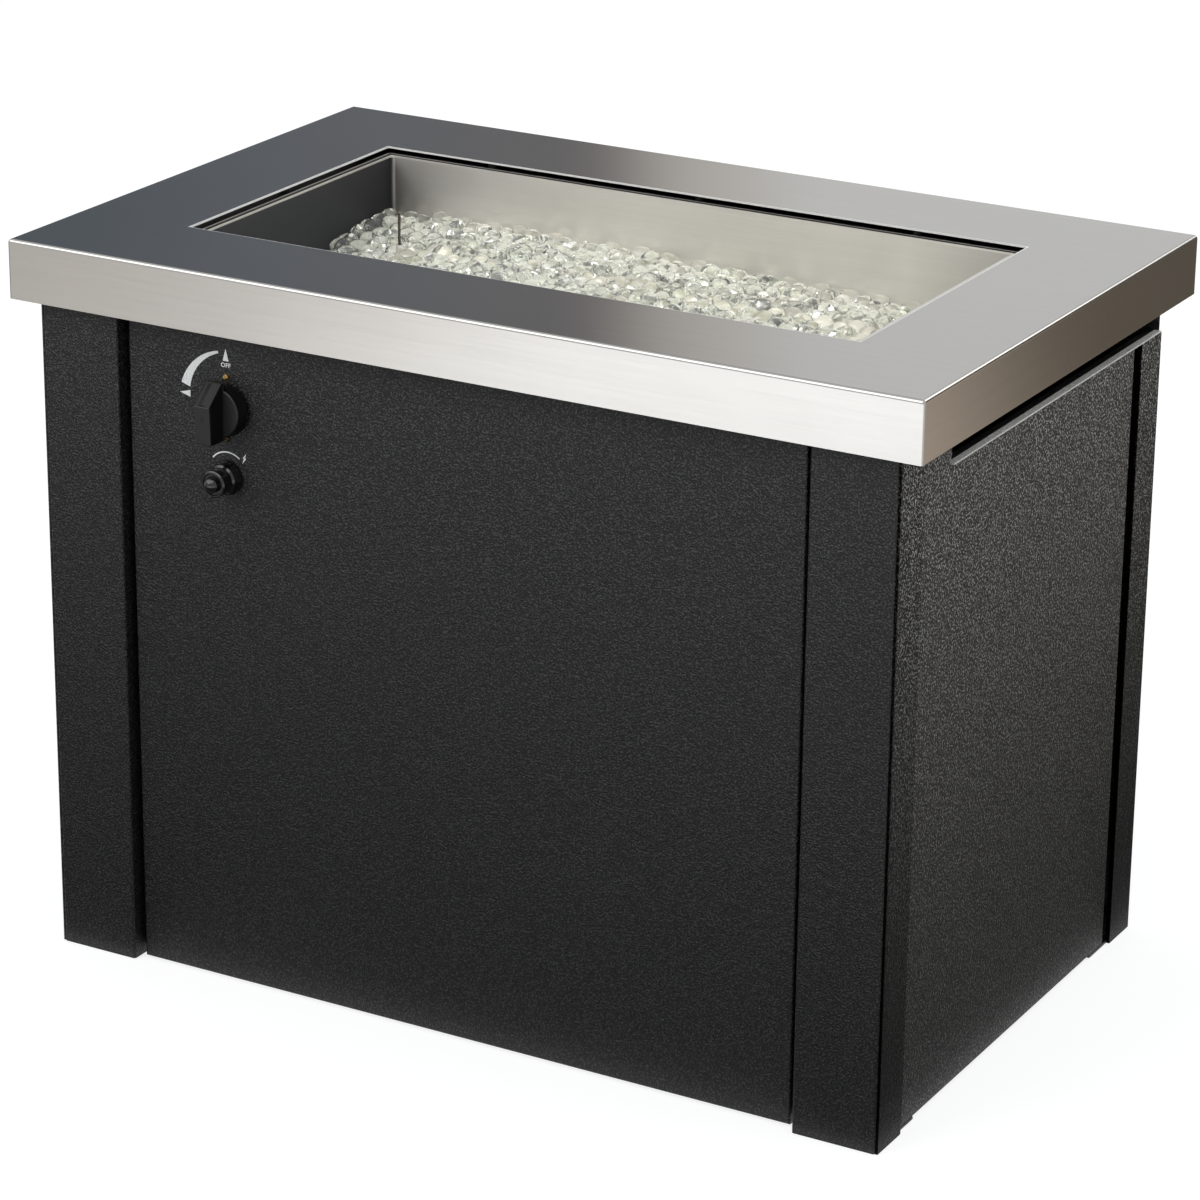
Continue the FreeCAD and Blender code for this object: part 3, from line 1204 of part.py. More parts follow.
def control_knob():
    """Tapered skirt with a wing grip whose upper part slopes back to a pointer."""
    axis_y = PANEL_Y
    profile = [
        (KNOB_CLEARANCE, 0),
        (KNOB_CLEARANCE, KNOB_BASE / 2 - 0.8),
        (KNOB_CLEARANCE + 0.8, KNOB_BASE / 2),
        (KNOB_FACE - 0.8, KNOB_FRONT / 2),
        (KNOB_FACE, KNOB_FRONT / 2 - 0.8),
        (KNOB_FACE, 0),
    ]
    skirt = revolved(profile, (CONTROL_X, axis_y, KNOB_Z), (0, -1, 0))
    dish = rod((CONTROL_X, axis_y - KNOB_FACE, KNOB_Z), (0, 1, 0), KNOB_FRONT / 2 - 2, 0.8)
    low = KNOB_Z - KNOB_GRIP_LOWER
    tip = KNOB_Z + KNOB_GRIP_UPPER
    brk = KNOB_Z + KNOB_BREAK_Z
    root = axis_y - KNOB_CLEARANCE - 6
    outline = [
        (root, low + 3),
        (axis_y - KNOB_FACE, low),
        (axis_y - KNOB_FOOT_OUT, low),
        (axis_y - KNOB_BREAK_OUT, brk),
        (axis_y - KNOB_TIP_OUT, tip),
        (axis_y - KNOB_FACE + 1, tip),
        (root, KNOB_Z + KNOB_FRONT / 2 - 2),
    ]
    half = KNOB_GRIP_WIDTH / 2
    grip = prism_yz(outline, CONTROL_X - half, CONTROL_X + half)
    front = axis_y - KNOB_FACE - 1
    rounded = [e for e in grip.Edges if all(v.Point.y < front for v in e.Vertexes)]
    grip = grip.makeFillet(0.9, rounded)
    slope = Vector(0, KNOB_BREAK_OUT - KNOB_TIP_OUT, tip - brk)
    base = Vector(CONTROL_X, axis_y - KNOB_BREAK_OUT, brk)
    normal = Vector(0, -slope.z, slope.y).normalize()
    first = base + slope * 0.06 - normal * 0.5
    triangle = [
        first + Vector(-half + 1.2, 0, 0),
        first + normal * (KNOB_RIDGE + 0.5),
        first + Vector(half - 1.2, 0, 0),
    ]
    ridge = Part.Face(Part.makePolygon(triangle + triangle[:1])).extrude(slope * 0.86)
    body = fuse([skirt.cut(dish), grip, ridge])
    bore = rod((CONTROL_X, axis_y - 24, KNOB_Z), (0, 1, 0), STEM_DIAMETER / 2 + THREAD_GAP, 24)
    flat_z = KNOB_Z - STEM_DIAMETER / 2 + STEM_FLAT - THREAD_GAP
    key = box(CONTROL_X - 6, CONTROL_X + 6, axis_y - 25, axis_y - 8, KNOB_Z - 6, flat_z)
    return body.cut(bore.cut(key))


def valve_screws():
    """Two brass round-headed screws that hold the valve's ears to the panel."""
    made = []
    for side in (-1, 1):
        z = KNOB_Z + side * VALVE_SCREW_PITCH / 2
        seat = Vector(CONTROL_X, PANEL_Y, z)
        top = PANEL_Y - VALVE_SCREW_HEAD_HEIGHT
        head = Part.makeSphere(VALVE_SCREW_HEAD / 2, seat, Vector(0, -1, 0), 0, 90, 360)
        cap = box(CONTROL_X - 5, CONTROL_X + 5, top - 5, top, z - 5, z + 5)
        slot = box(CONTROL_X - 5, CONTROL_X + 5, top - 5, top + 0.8, z - 0.4, z + 0.4)
        grip = PANEL_SHEET + VALVE_EAR_THICKNESS + 1
        shank = rod((CONTROL_X, PANEL_Y, z), (0, 1, 0), VALVE_SCREW / 2, grip)
        made.append(fuse([cut(head, [cap]), shank]).cut(slot))
    return Part.makeCompound(made)


def igniter_profile(pairs):
    """Profile about the igniter's axis, with distances counted outwards from the panel's face."""
    return revolved(pairs, (CONTROL_X, PANEL_Y, IGNITER_Z), (0, -1, 0))


def igniter_case():
    """Case behind the panel with the barrel that comes through it, bored for one cell."""
    back = -(PANEL_SHEET + IGNITER_CASE_LENGTH)
    cell = IGNITER_CELL / 2
    profile = [
        (back, 0),
        (back, IGNITER_CASE / 2 - 2),
        (back + 2, IGNITER_CASE / 2),
        (-PANEL_SHEET, IGNITER_CASE / 2),
        (-PANEL_SHEET, IGNITER_BARREL / 2),
        (BEZEL_DEPTH, IGNITER_BARREL / 2),
        (BEZEL_DEPTH, IGNITER_NOSE / 2),
        (BEZEL_DEPTH + 4, IGNITER_NOSE / 2),
        (BEZEL_DEPTH + 4, cell),
        (BEZEL_DEPTH - CELL_LENGTH - 1, cell),
        (BEZEL_DEPTH - CELL_LENGTH - 1, 0),
    ]
    return igniter_profile(profile)


def igniter_bezel():
    """Fluted ring nut that clamps the barrel to the panel from outside."""
    bore = IGNITER_BARREL / 2 + THREAD_GAP
    profile = [
        (0, bore),
        (0, BEZEL_BASE / 2),
        (3, BEZEL_BASE / 2),
        (BEZEL_DEPTH - 1.5, BEZEL_FRONT / 2),
        (BEZEL_DEPTH, BEZEL_FRONT / 2 - 1.5),
        (BEZEL_DEPTH, bore),
    ]
    ring = igniter_profile(profile)
    flutes = []
    for k in range(BEZEL_FLUTES):
        angle = 2 * math.pi * (k + 0.5) / BEZEL_FLUTES
        reach = BEZEL_BASE / 2 + 1.2
        x = CONTROL_X + reach * math.cos(angle)
        z = IGNITER_Z + reach * math.sin(angle)
        flutes.append(rod((x, PANEL_Y - 3, z), (0, -1, 0), 2.2, BEZEL_DEPTH))
    return cut(ring, flutes)


def igniter_cap():
    """Screw cap over the barrel's nose, with the button's hole inside a raised rim."""
    nose = IGNITER_NOSE / 2 + THREAD_GAP
    r = CAP_DIAMETER / 2
    hole = BUTTON_DIAMETER / 2 + 0.3
    profile = [
        (BEZEL_DEPTH + 0.3, nose),
        (BEZEL_DEPTH + 0.3, r - 0.5),
        (BEZEL_DEPTH + 0.8, r),
        (CAP_OUT - 1, r),
        (CAP_OUT, r - 1),
        (CAP_OUT, r - 2),
        (CAP_OUT - 1, r - 2.6),
        (CAP_OUT - 1, hole),
        (CAP_OUT - CAP_WALL, hole),
        (CAP_OUT - CAP_WALL, nose),
    ]
    return igniter_profile(profile)


def igniter_button():
    """Domed push button with a collar that keeps it behind the cap's front."""
    r = BUTTON_DIAMETER / 2
    collar_front = CAP_OUT - CAP_WALL - 0.3
    dome = 4.0
    sphere_r = (r**2 + dome**2) / (2 * dome)
    neck = BUTTON_OUT - dome
    stem = [(collar_front - 1, 0), (collar_front - 1, r), (neck, r), (neck, 0)]
    rounded = [(neck - 1, 0), (neck - 1, r), (BUTTON_OUT, r), (BUTTON_OUT, 0)]
    ball = Part.makeSphere(sphere_r, Vector(CONTROL_X, PANEL_Y - BUTTON_OUT + sphere_r, IGNITER_Z))
    back = collar_front - BUTTON_COLLAR_THICKNESS
    collar = [(back, 0), (back, BUTTON_COLLAR / 2), (collar_front, BUTTON_COLLAR / 2), (collar_front, 0)]
    return fuse([igniter_profile(stem), igniter_profile(rounded).common(ball), igniter_profile(collar)])


def igniter_spring():
    start = BEZEL_DEPTH - 1.5 + SPRING_WIRE / 2 + 0.1
    end = CAP_OUT - CAP_WALL - 0.3 - BUTTON_COLLAR_THICKNESS - SPRING_WIRE / 2 - 0.1
    return coil_spring((CONTROL_X, PANEL_Y - start, IGNITER_Z), (0, -1, 0), 4.5, end - start, 4)


def igniter_cell():
    """One small dry cell with its raised contact."""
    r = CELL_DIAMETER / 2
    back = BEZEL_DEPTH - CELL_LENGTH
    profile = [
        (back, 0),
        (back, r - 0.5),
        (back + 0.5, r),
        (BEZEL_DEPTH - 2.0, r),
        (BEZEL_DEPTH - 1.5, r - 0.5),
        (BEZEL_DEPTH - 1.5, 2.75),
        (BEZEL_DEPTH, 2.75),
        (BEZEL_DEPTH, 0),
    ]
    return igniter_profile(profile)


def ignition_lead():
    """High-tension lead from the igniter's case to the foot of the electrode."""
    start = Vector(CONTROL_X, IGNITER_BACK_Y, IGNITER_Z)
    end = Vector(ELECTRODE_X, ELECTRODE_Y, PAN_FLOOR_Z - CERAMIC_BELOW)
    span = end - start
    # Shares of the way across, back and up, from the igniter to the electrode
    bends = ((0, 0.2, 0), (0.15, 0.4, -0.06), (0.4, 0.6, -0.08), (0.75, 0.8, 0), (1, 0.97, 0.2), (1, 1, 0.65))
    middle = [(start.x + u * span.x, start.y + v * span.y, start.z + w * span.z) for u, v, w in bends]
    points = [tuple(start)] + middle + [tuple(end)]
    return tube_along(points, LEAD_DIAMETER, "ignition lead")


def build():
    """Every node of the table, by name."""
    full_strip = TABLE_HEIGHT - STRIP_TOP_DROP
    plain_post = corner_post(DECK)
    low_post = mirrored_y(corner_post(HEADER_UNDER))
    strip = side_strip(full_strip)
    glide = corner_glide()
    lip_near = DOOR_TAB_Y + DOOR_NOTCH_GAP
    lower_bracket, upper_bracket = hinge_brackets()
    left_reach = STRIP_EDGE_Y - 0.5
    flange_under = PAN_RIM_Z - PAN_BEAD_HEIGHT - PAN_SHEET
    parts = {
        "table_top": table_top(),
        "front_top_channel": top_channel(-1),
        "rear_top_channel": top_channel(1),
        "burner_pan": burner_pan(),
        "pan_spacers": pan_spacers(),
        "pan_nuts": nuts(stud_places(), flange_under),
        "post_nuts": nuts(post_stud_places(), DECK - POST_SHEET),
        "burner": burner(),
        "left_burner_saddle": burner_saddle(-SADDLE_X),
        "right_burner_saddle": burner_saddle(SADDLE_X),
        "burner_locknut": locknut(),
        "fire_glass": fire_glass(),
        "electrode_bracket": electrode_bracket(),
        "spark_electrode": spark_electrode(),
        "feed_elbow": feed_elbow(),
        "air_mixer": air_mixer(),
        "gas_orifice": gas_orifice(),
        "gas_line": gas_line(),
        "gas_line_nuts": gas_line_nuts(),
        "heat_shield": heat_shield(),
        "front_right_post": plain_post,
        "front_left_post": mirrored_x(plain_post),
        "rear_right_post": low_post,
        "rear_left_post": mirrored_x(mirrored_y(plain_post)),
        "front_right_strip": strip,
        "front_left_strip": mirrored_x(strip),
        "rear_right_strip": mirrored_y(side_strip(HEADER_UNDER)),
        "rear_left_strip": mirrored_x(mirrored_y(strip)),
        "corner_glides": Part.makeCompound([
            glide,
            mirrored_x(glide),
            mirrored_y(glide),
            mirrored_x(mirrored_y(glide)),
        ]),
        "front_panel": front_panel(),
        "rear_panel": plain_panel(1),
        "left_panel": left_panel(),
        "front_frame": inner_frame(-1),
        "rear_frame": inner_frame(1),
        "panel_screws": panel_screws(),
        "right_header": header_rail(lip_near, POST_INNER_Y),
        "left_header": mirrored_x(header_rail(-left_reach, left_reach)),
        "access_door": access_door(),
        "hinge_pins": hinge_pins(),
        "lower_hinge_bracket": lower_bracket,
        "upper_hinge_bracket": upper_bracket,
        "door_rest": door_rest(),
        "magnet_catch": magnet_catch(),
        "strike_plate": strike_plate(),
        "floor_shelf": floor_shelf(),
        "valve_body": valve_body(),
        "valve_rotor": valve_rotor(),
        "valve_stem": valve_stem(),
        "valve_spring": valve_spring(),
        "control_knob": control_knob(),
        "valve_screws": valve_screws(),
        "igniter_case": igniter_case(),
        "igniter_bezel": igniter_bezel(),
        "igniter_cap": igniter_cap(),
        "igniter_button": igniter_button(),
        "igniter_spring": igniter_spring(),
        "igniter_cell": igniter_cell(),
        "ignition_lead": ignition_lead(),
    }
    return parts


for name, shape in build().items():
    if not shape.isValid() or not shape.Solids:
        print("not a valid solid:", name)
    shape.translate(Vector(0, ORIGIN_SHIFT_Y, 0))
    shape.exportStep("parts/" + name + ".step")
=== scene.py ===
import math

import bpy
import numpy as np
from mathutils import Matrix, Vector


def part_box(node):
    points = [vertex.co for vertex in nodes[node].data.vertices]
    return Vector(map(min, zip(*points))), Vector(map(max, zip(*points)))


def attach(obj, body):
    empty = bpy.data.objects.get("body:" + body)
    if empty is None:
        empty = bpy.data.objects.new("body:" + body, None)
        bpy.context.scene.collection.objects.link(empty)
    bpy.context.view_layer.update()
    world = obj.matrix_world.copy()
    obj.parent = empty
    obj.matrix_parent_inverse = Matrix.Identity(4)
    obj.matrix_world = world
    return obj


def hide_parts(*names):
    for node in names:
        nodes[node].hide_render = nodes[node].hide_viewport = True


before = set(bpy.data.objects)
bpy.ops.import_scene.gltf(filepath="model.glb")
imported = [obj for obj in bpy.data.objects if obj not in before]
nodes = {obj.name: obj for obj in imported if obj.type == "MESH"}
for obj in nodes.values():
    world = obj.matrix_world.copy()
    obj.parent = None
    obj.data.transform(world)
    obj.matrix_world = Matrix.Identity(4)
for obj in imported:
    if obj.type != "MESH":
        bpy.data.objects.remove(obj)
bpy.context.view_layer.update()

# ---- Studio: floor, light and camera ----
# A plain pale floor under soft light, with a lens and place that match the photograph's view of the table.
# Cards that only reflections see stand round the part, light and dark, so the steel has something to show.
scene = bpy.context.scene
scene.view_settings.view_transform = "Standard"


def clear_selection():
    """Leaves object mode with nothing selected."""
    if bpy.context.object and bpy.context.object.mode != "OBJECT":
        bpy.ops.object.mode_set(mode="OBJECT")
    bpy.ops.object.select_all(action="DESELECT")


def put_link(tree, out, inlet):
    """Joins two sockets of a node tree."""
    tree.links.new(out, inlet)


def add_math(tree, kind, first, second=0.0, third=0.0, clamp=False):
    """A math node on sockets or numbers; gives its output."""
    node = tree.nodes.new("ShaderNodeMath")
    node.operation = kind
    node.use_clamp = clamp
    for place, value in enumerate((first, second, third)):
        if isinstance(value, (int, float)):
            node.inputs[place].default_value = value
        else:
            put_link(tree, value, node.inputs[place])
    return node.outputs[0]


def add_ramp(tree, factor, stops):
    """A colour ramp with (place, grey or colour) stops; gives its colour output."""
    node = tree.nodes.new("ShaderNodeValToRGB")
    ramp = node.color_ramp
    while len(ramp.elements) < len(stops):
        ramp.elements.new(0.5)
    for element, (place, colour) in zip(ramp.elements, stops):
        element.position = place
        if isinstance(colour, (int, float)):
            colour = (colour, colour, colour)
        element.color = (*colour, 1.0)
    put_link(tree, factor, node.inputs[0])
    return node.outputs[0]


def seen_directly(tree):
    """1 where the eye, a reflection or clear glass meets the surface, and 0 where it only lights."""
    path = tree.nodes.new("ShaderNodeLightPath")
    seen = add_math(tree, "MAXIMUM", path.outputs["Is Camera Ray"], path.outputs["Is Glossy Ray"])
    return add_math(tree, "MAXIMUM", seen, path.outputs["Is Transmission Ray"])


world = bpy.data.worlds.new("studio_world")
scene.world = world
world.use_nodes = True
tree = world.node_tree
tree.nodes.clear()
sky = tree.nodes.new("ShaderNodeBackground")
sky.inputs[0].default_value = (0.93, 0.965, 1.0, 1.0)
sky.inputs[1].default_value = 0.62
plain_white = tree.nodes.new("ShaderNodeBackground")
plain_white.inputs[0].default_value = (1.0, 1.0, 1.0, 1.0)
plain_white.inputs[1].default_value = 1.0
world_mix = tree.nodes.new("ShaderNodeMixShader")
put_link(tree, seen_directly(tree), world_mix.inputs[0])
put_link(tree, sky.outputs[0], world_mix.inputs[1])
put_link(tree, plain_white.outputs[0], world_mix.inputs[2])
world_out = tree.nodes.new("ShaderNodeOutputWorld")
put_link(tree, world_mix.outputs[0], world_out.inputs[0])

FLOOR_SIZE = 60.0
FLOOR_GREY = 0.34
FLOOR_LIFT = 0.80
clear_selection()
bpy.ops.mesh.primitive_plane_add(size=FLOOR_SIZE, location=(0.0, 0.0, 0.0))
floor = bpy.context.object
floor.name = "studio_floor"
floor_material = bpy.data.materials.new("studio_floor_paint")
floor_material.use_nodes = True
tree = floor_material.node_tree
tree.nodes.clear()
matt = tree.nodes.new("ShaderNodeBsdfDiffuse")
matt.inputs[0].default_value = (FLOOR_GREY, FLOOR_GREY, FLOOR_GREY, 1.0)
lift = tree.nodes.new("ShaderNodeEmission")
lift.inputs[0].default_value = (1.0, 1.0, 1.0, 1.0)
put_link(tree, add_math(tree, "MULTIPLY", seen_directly(tree), FLOOR_LIFT), lift.inputs[1])
both = tree.nodes.new("ShaderNodeAddShader")
put_link(tree, matt.outputs[0], both.inputs[0])
put_link(tree, lift.outputs[0], both.inputs[1])
floor_out = tree.nodes.new("ShaderNodeOutputMaterial")
put_link(tree, both.outputs[0], floor_out.inputs[0])
floor.data.materials.append(floor_material)


def reflection_card(name, corners, strength, along, stops, heading=0.0):
    """A card that only reflections see: its corners, strength, colours along one axis, and turn."""
    mesh = bpy.data.meshes.new(name)
    mesh.from_pydata(corners, [], [(0, 1, 2, 3)])
    card = bpy.data.objects.new(name, mesh)
    scene.collection.objects.link(card)
    material = bpy.data.materials.new(name + "_paint")
    material.use_nodes = True
    card_tree = material.node_tree
    card_tree.nodes.clear()
    place = card_tree.nodes.new("ShaderNodeTexCoord")
    parts = card_tree.nodes.new("ShaderNodeSeparateXYZ")
    put_link(card_tree, place.outputs["Object"], parts.inputs[0])
    low, high = stops[0][0], stops[-1][0]
    spot = add_math(card_tree, "SUBTRACT", parts.outputs["XYZ".index(along)], low)
    spot = add_math(card_tree, "DIVIDE", spot, high - low, clamp=True)
    even = [((where - low) / (high - low), colour) for where, colour in stops]
    glow = card_tree.nodes.new("ShaderNodeEmission")
    put_link(card_tree, add_ramp(card_tree, spot, even), glow.inputs[0])
    glow.inputs[1].default_value = strength
    out = card_tree.nodes.new("ShaderNodeOutputMaterial")
    put_link(card_tree, glow.outputs[0], out.inputs[0])
    mesh.materials.append(material)
    card.rotation_euler.z = math.radians(heading)
    card.visible_camera = False
    card.visible_diffuse = False
    card.visible_shadow = False
    card.visible_transmission = False
    card.visible_volume_scatter = False


# Behind the table to the left: dark, with a brown edge at its right, which the deck's left half shows
reflection_card(
    "rear_left_card",
    [(-14.0, 8.6, 0.01), (-4.20, 8.6, 0.01), (-4.20, 8.6, 9.0), (-14.0, 8.6, 9.0)],
    2.0,
    "X",
    [
        (-14.0, (0.073, 0.085, 0.100)), (-6.9, (0.075, 0.087, 0.102)), (-6.0, (0.099, 0.107, 0.121)),
        (-5.2, (0.118, 0.118, 0.124)), (-4.80, (0.118, 0.112, 0.114)), (-4.74, (0.27, 0.245, 0.232)),
        (-4.55, (0.405, 0.386, 0.362)), (-4.20, (0.463, 0.456, 0.440)),
    ],
)
# On the floor in front: bright to the right and duller to the left, which the front apron shows
reflection_card(
    "front_floor_card",
    [(-4.0, -4.5, 0.004), (3.2, -4.5, 0.004), (3.2, -1.45, 0.004), (-4.0, -1.45, 0.004)],
    3.0,
    "X",
    [
        (-1.70, (0.373, 0.354, 0.337)), (-1.38, (0.511, 0.487, 0.467)), (-1.16, (0.613, 0.599, 0.587)),
        (-0.93, (0.895, 0.890, 0.885)), (-0.71, (0.925, 0.925, 0.933)), (-0.45, (0.925, 0.925, 0.937)),
        (-0.25, (0.885, 0.885, 0.897)), (3.2, (0.870, 0.870, 0.882)),
    ],
)
# Close in front and close by the door the floor is dim, so the black panels darken towards their feet
reflection_card(
    "front_near_card",
    [(-4.0, -1.45, 0.004), (0.6, -1.45, 0.004), (0.6, -0.245, 0.004), (-4.0, -0.245, 0.004)],
    1.0,
    "Y",
    [
        (-1.45, (0.80, 0.80, 0.82)), (-1.30, (0.32, 0.32, 0.335)),
        (-0.95, (0.14, 0.14, 0.147)), (-0.25, (0.10, 0.10, 0.105)),
    ],
)
reflection_card(
    "right_near_card",
    [(0.395, -0.6, 0.004), (1.12, -0.6, 0.004), (1.12, 2.2, 0.004), (0.395, 2.2, 0.004)],
    1.5,
    "X",
    [
        (0.40, (0.04, 0.039, 0.035)), (0.62, (0.09, 0.088, 0.082)), (0.80, (0.20, 0.196, 0.185)),
        (0.95, (0.44, 0.43, 0.41)), (1.06, (0.56, 0.55, 0.53)), (1.12, (0.30, 0.28, 0.26)),
    ],
)
# On the floor behind to the right, along the line of sight: dark and brown, which the right apron shows
REAR_RIGHT_HEADING = 60.7
reflection_card(
    "rear_right_card",
    [(1.32, -1.2, 0.006), (11.0, -1.2, 0.006), (11.0, 0.6, 0.006), (1.32, 0.6, 0.006)],
    2.0,
    "Y",
    [
        (-0.50, (0.450, 0.385, 0.320)), (-0.42, (0.435, 0.365, 0.305)), (-0.33, (0.350, 0.288, 0.238)),
        (-0.262, (0.238, 0.198, 0.162)), (-0.196, (0.150, 0.126, 0.101)), (-0.116, (0.105, 0.088, 0.070)),
        (0.08, (0.090, 0.075, 0.060)),
    ],
    REAR_RIGHT_HEADING,
)
reflection_card(
    "rear_right_wall_card",
    [(11.0, -1.2, 0.01), (11.0, 1.0, 0.01), (11.0, 1.0, 4.5), (11.0, -1.2, 4.5)],
    1.0,
    "Z",
    [(0.0, (0.12, 0.10, 0.08)), (4.5, (0.18, 0.16, 0.14))],
    REAR_RIGHT_HEADING,
)
# Bright strips high in front and high behind to the right: the bends of the top catch them as white lines
reflection_card(
    "front_high_card",
    [(-4.5, -3.6, 3.0), (1.4, -3.6, 3.0), (1.4, -1.0, 3.0), (-4.5, -1.0, 3.0)],
    3.4,
    "X",
    [(-4.5, (1.0, 0.99, 0.97)), (1.4, (1.0, 0.99, 0.97))],
)
reflection_card(
    "rear_high_card",
    [(0.9, 3.0, 1.7), (2.3, 3.0, 1.7), (2.3, 3.0, 3.0), (0.9, 3.0, 3.0)],
    3.4,
    "X",
    [(0.9, (1.0, 0.97, 0.93)), (2.3, (1.0, 0.97, 0.93))],
)

# Soft lamps: a large one high in front, and a smaller one high on the right
for name, place, aim, size, power in (
    ("front_softbox", (-1.6, -3.0, 3.2), (0.0, 0.0, 0.4), 2.6, 58.0),
    ("right_softbox", (3.2, 0.6, 2.6), (0.2, 0.0, 0.4), 1.8, 30.0),
):
    lamp_data = bpy.data.lights.new(name, "AREA")
    lamp_data.shape = "SQUARE"
    lamp_data.size = size
    lamp_data.energy = power
    lamp = bpy.data.objects.new(name, lamp_data)
    scene.collection.objects.link(lamp)
    lamp.location = place
    lamp.rotation_euler = (Vector(aim) - Vector(place)).to_track_quat("-Z", "Y").to_euler()
    lamp.visible_camera = False
    lamp.visible_glossy = name == "front_softbox"

# The lens and place from which the photograph was taken, with its picture 1200 across
CAMERA_PLACE = (1.6846, -2.9952, 1.5929)
CAMERA_YAW = math.radians(29.329)
CAMERA_PITCH = math.radians(20.478)
CAMERA_ROLL = math.radians(-0.605)
SENSOR_WIDTH = 36.0
FOCAL_LENGTH, PICTURE_WIDTH = 4390.1, 1200.0
forward = Vector((
    -math.sin(CAMERA_YAW) * math.cos(CAMERA_PITCH),
    math.cos(CAMERA_YAW) * math.cos(CAMERA_PITCH),
    -math.sin(CAMERA_PITCH),
))
level_right = Vector((math.cos(CAMERA_YAW), math.sin(CAMERA_YAW), 0.0))
level_down = forward.cross(level_right)
right = math.cos(CAMERA_ROLL) * level_right + math.sin(CAMERA_ROLL) * level_down
down = -math.sin(CAMERA_ROLL) * level_right + math.cos(CAMERA_ROLL) * level_down
camera_data = bpy.data.cameras.new("photo_camera")
camera_data.sensor_width = SENSOR_WIDTH
camera_data.lens = FOCAL_LENGTH / PICTURE_WIDTH * SENSOR_WIDTH
camera = bpy.data.objects.new("photo_camera", camera_data)
scene.collection.objects.link(camera)
turn = Matrix((right, -down, -forward)).transposed().to_4x4()
camera.matrix_world = Matrix.Translation(CAMERA_PLACE) @ turn
scene.camera = camera

# ---- Black sheet-steel base ----
# Corner posts, side strips, inner frames, headers, panels, door and floor shelf, folded from sheet steel,
# then powder-coated black with a fine texture. They are screwed together and stand on four plastic glides.


def new_group(name, inlets, outlets):
    """An empty node group with float or vector sockets, and its input and output nodes."""
    group = bpy.data.node_groups.new(name, "ShaderNodeTree")
    for title, kind, value in inlets:
        socket = group.interface.new_socket(title, in_out="INPUT", socket_type=kind)
        if value is not None:
            socket.default_value = value
    for title, kind in outlets:
        group.interface.new_socket(title, in_out="OUTPUT", socket_type=kind)
    return group, group.nodes.new("NodeGroupInput"), group.nodes.new("NodeGroupOutput")


def add_noise(tree, vector, scale, detail=2.0, roughness=0.5):
    """A noise texture on a vector; gives its value output."""
    node = tree.nodes.new("ShaderNodeTexNoise")
    node.inputs["Detail"].default_value = detail
    node.inputs["Roughness"].default_value = roughness
    if isinstance(scale, (int, float)):
        node.inputs["Scale"].default_value = scale
    else:
        put_link(tree, scale, node.inputs["Scale"])
    put_link(tree, vector, node.inputs["Vector"])
    return node.outputs[0]


def add_mix(tree, factor, first, second):
    """A colour mix of sockets or colours; gives its colour output."""
    node = tree.nodes.new("ShaderNodeMix")
    node.data_type = "RGBA"
    for place, value in ((0, factor), (6, first), (7, second)):
        if isinstance(value, (int, float)):
            node.inputs[place].default_value = value
        elif isinstance(value, tuple):
            node.inputs[place].default_value = (*value, 1.0)
        else:
            put_link(tree, value, node.inputs[place])
    return node.outputs[2]


def new_finish(name, colour, metallic=0.0, roughness=0.5):
    """A material with one shader; gives it, its node tree, its shader and the object coordinates."""
    material = bpy.data.materials.new(name)
    material.use_nodes = True
    own = material.node_tree
    shader = own.nodes["Principled BSDF"]
    shader.inputs["Base Color"].default_value = (*colour, 1.0)
    shader.inputs["Metallic"].default_value = metallic
    shader.inputs["Roughness"].default_value = roughness
    place = own.nodes.new("ShaderNodeTexCoord")
    return material, own, shader, place.outputs["Object"]


def use_group(tree, group, values):
    """Places a node group, sets its inputs by name, and gives its outputs."""
    node = tree.nodes.new("ShaderNodeGroup")
    node.node_tree = group
    for title, value in values.items():
        if isinstance(value, (int, float, tuple)):
            node.inputs[title].default_value = value
        else:
            put_link(tree, value, node.inputs[title])
    return node.outputs


def place_parts(tree):
    """How far right, back and up the painted point lies, in metres: three outputs."""
    parts = tree.nodes.new("ShaderNodeSeparateXYZ")
    put_link(tree, tree.nodes["Texture Coordinate"].outputs["Object"], parts.inputs[0])
    return parts.outputs


def paint_over(material, mask, colour):
    """Puts another colour over a finish where the mask is 1."""
    own = material.node_tree
    tone = own.nodes["Principled BSDF"].inputs["Base Color"]
    below = tone.links[0].from_socket
    put_link(own, add_mix(own, mask, below, colour), tone)


def add_bump(tree, shader, height, strength, distance):
    """Feeds a height to the shader's normal."""
    bump = tree.nodes.new("ShaderNodeBump")
    bump.inputs["Strength"].default_value = strength
    bump.inputs["Distance"].default_value = distance
    put_link(tree, height, bump.inputs["Height"])
    put_link(tree, bump.outputs[0], shader.inputs["Normal"])


def dress(names, material):
    """Gives carried-over CAD nodes a finish."""
    for title in names:
        for slot in nodes[title].material_slots:
            slot.material = material


# Orange-peel of the coat: rounded grains about a millimetre across, with a few taller ones
coat_grain, group_in, group_out = new_group(
    "coat_grain",
    [("Place", "NodeSocketVector", None), ("Grains per metre", "NodeSocketFloat", 900.0)],
    [("Height", "NodeSocketFloat"), ("Tall grains", "NodeSocketFloat")],
)
fine = add_noise(coat_grain, group_in.outputs[0], group_in.outputs[1], 2.0, 0.6)
sparse = add_math(coat_grain, "MULTIPLY", group_in.outputs[1], 0.3)
wide = add_noise(coat_grain, group_in.outputs[0], sparse, 1.0)
height = add_math(coat_grain, "ADD", fine, add_math(coat_grain, "MULTIPLY", wide, 0.35))
put_link(coat_grain, height, group_out.inputs[0])
put_link(coat_grain, add_ramp(coat_grain, fine, [(0.53, 0.0), (0.61, 1.0)]), group_out.inputs[1])

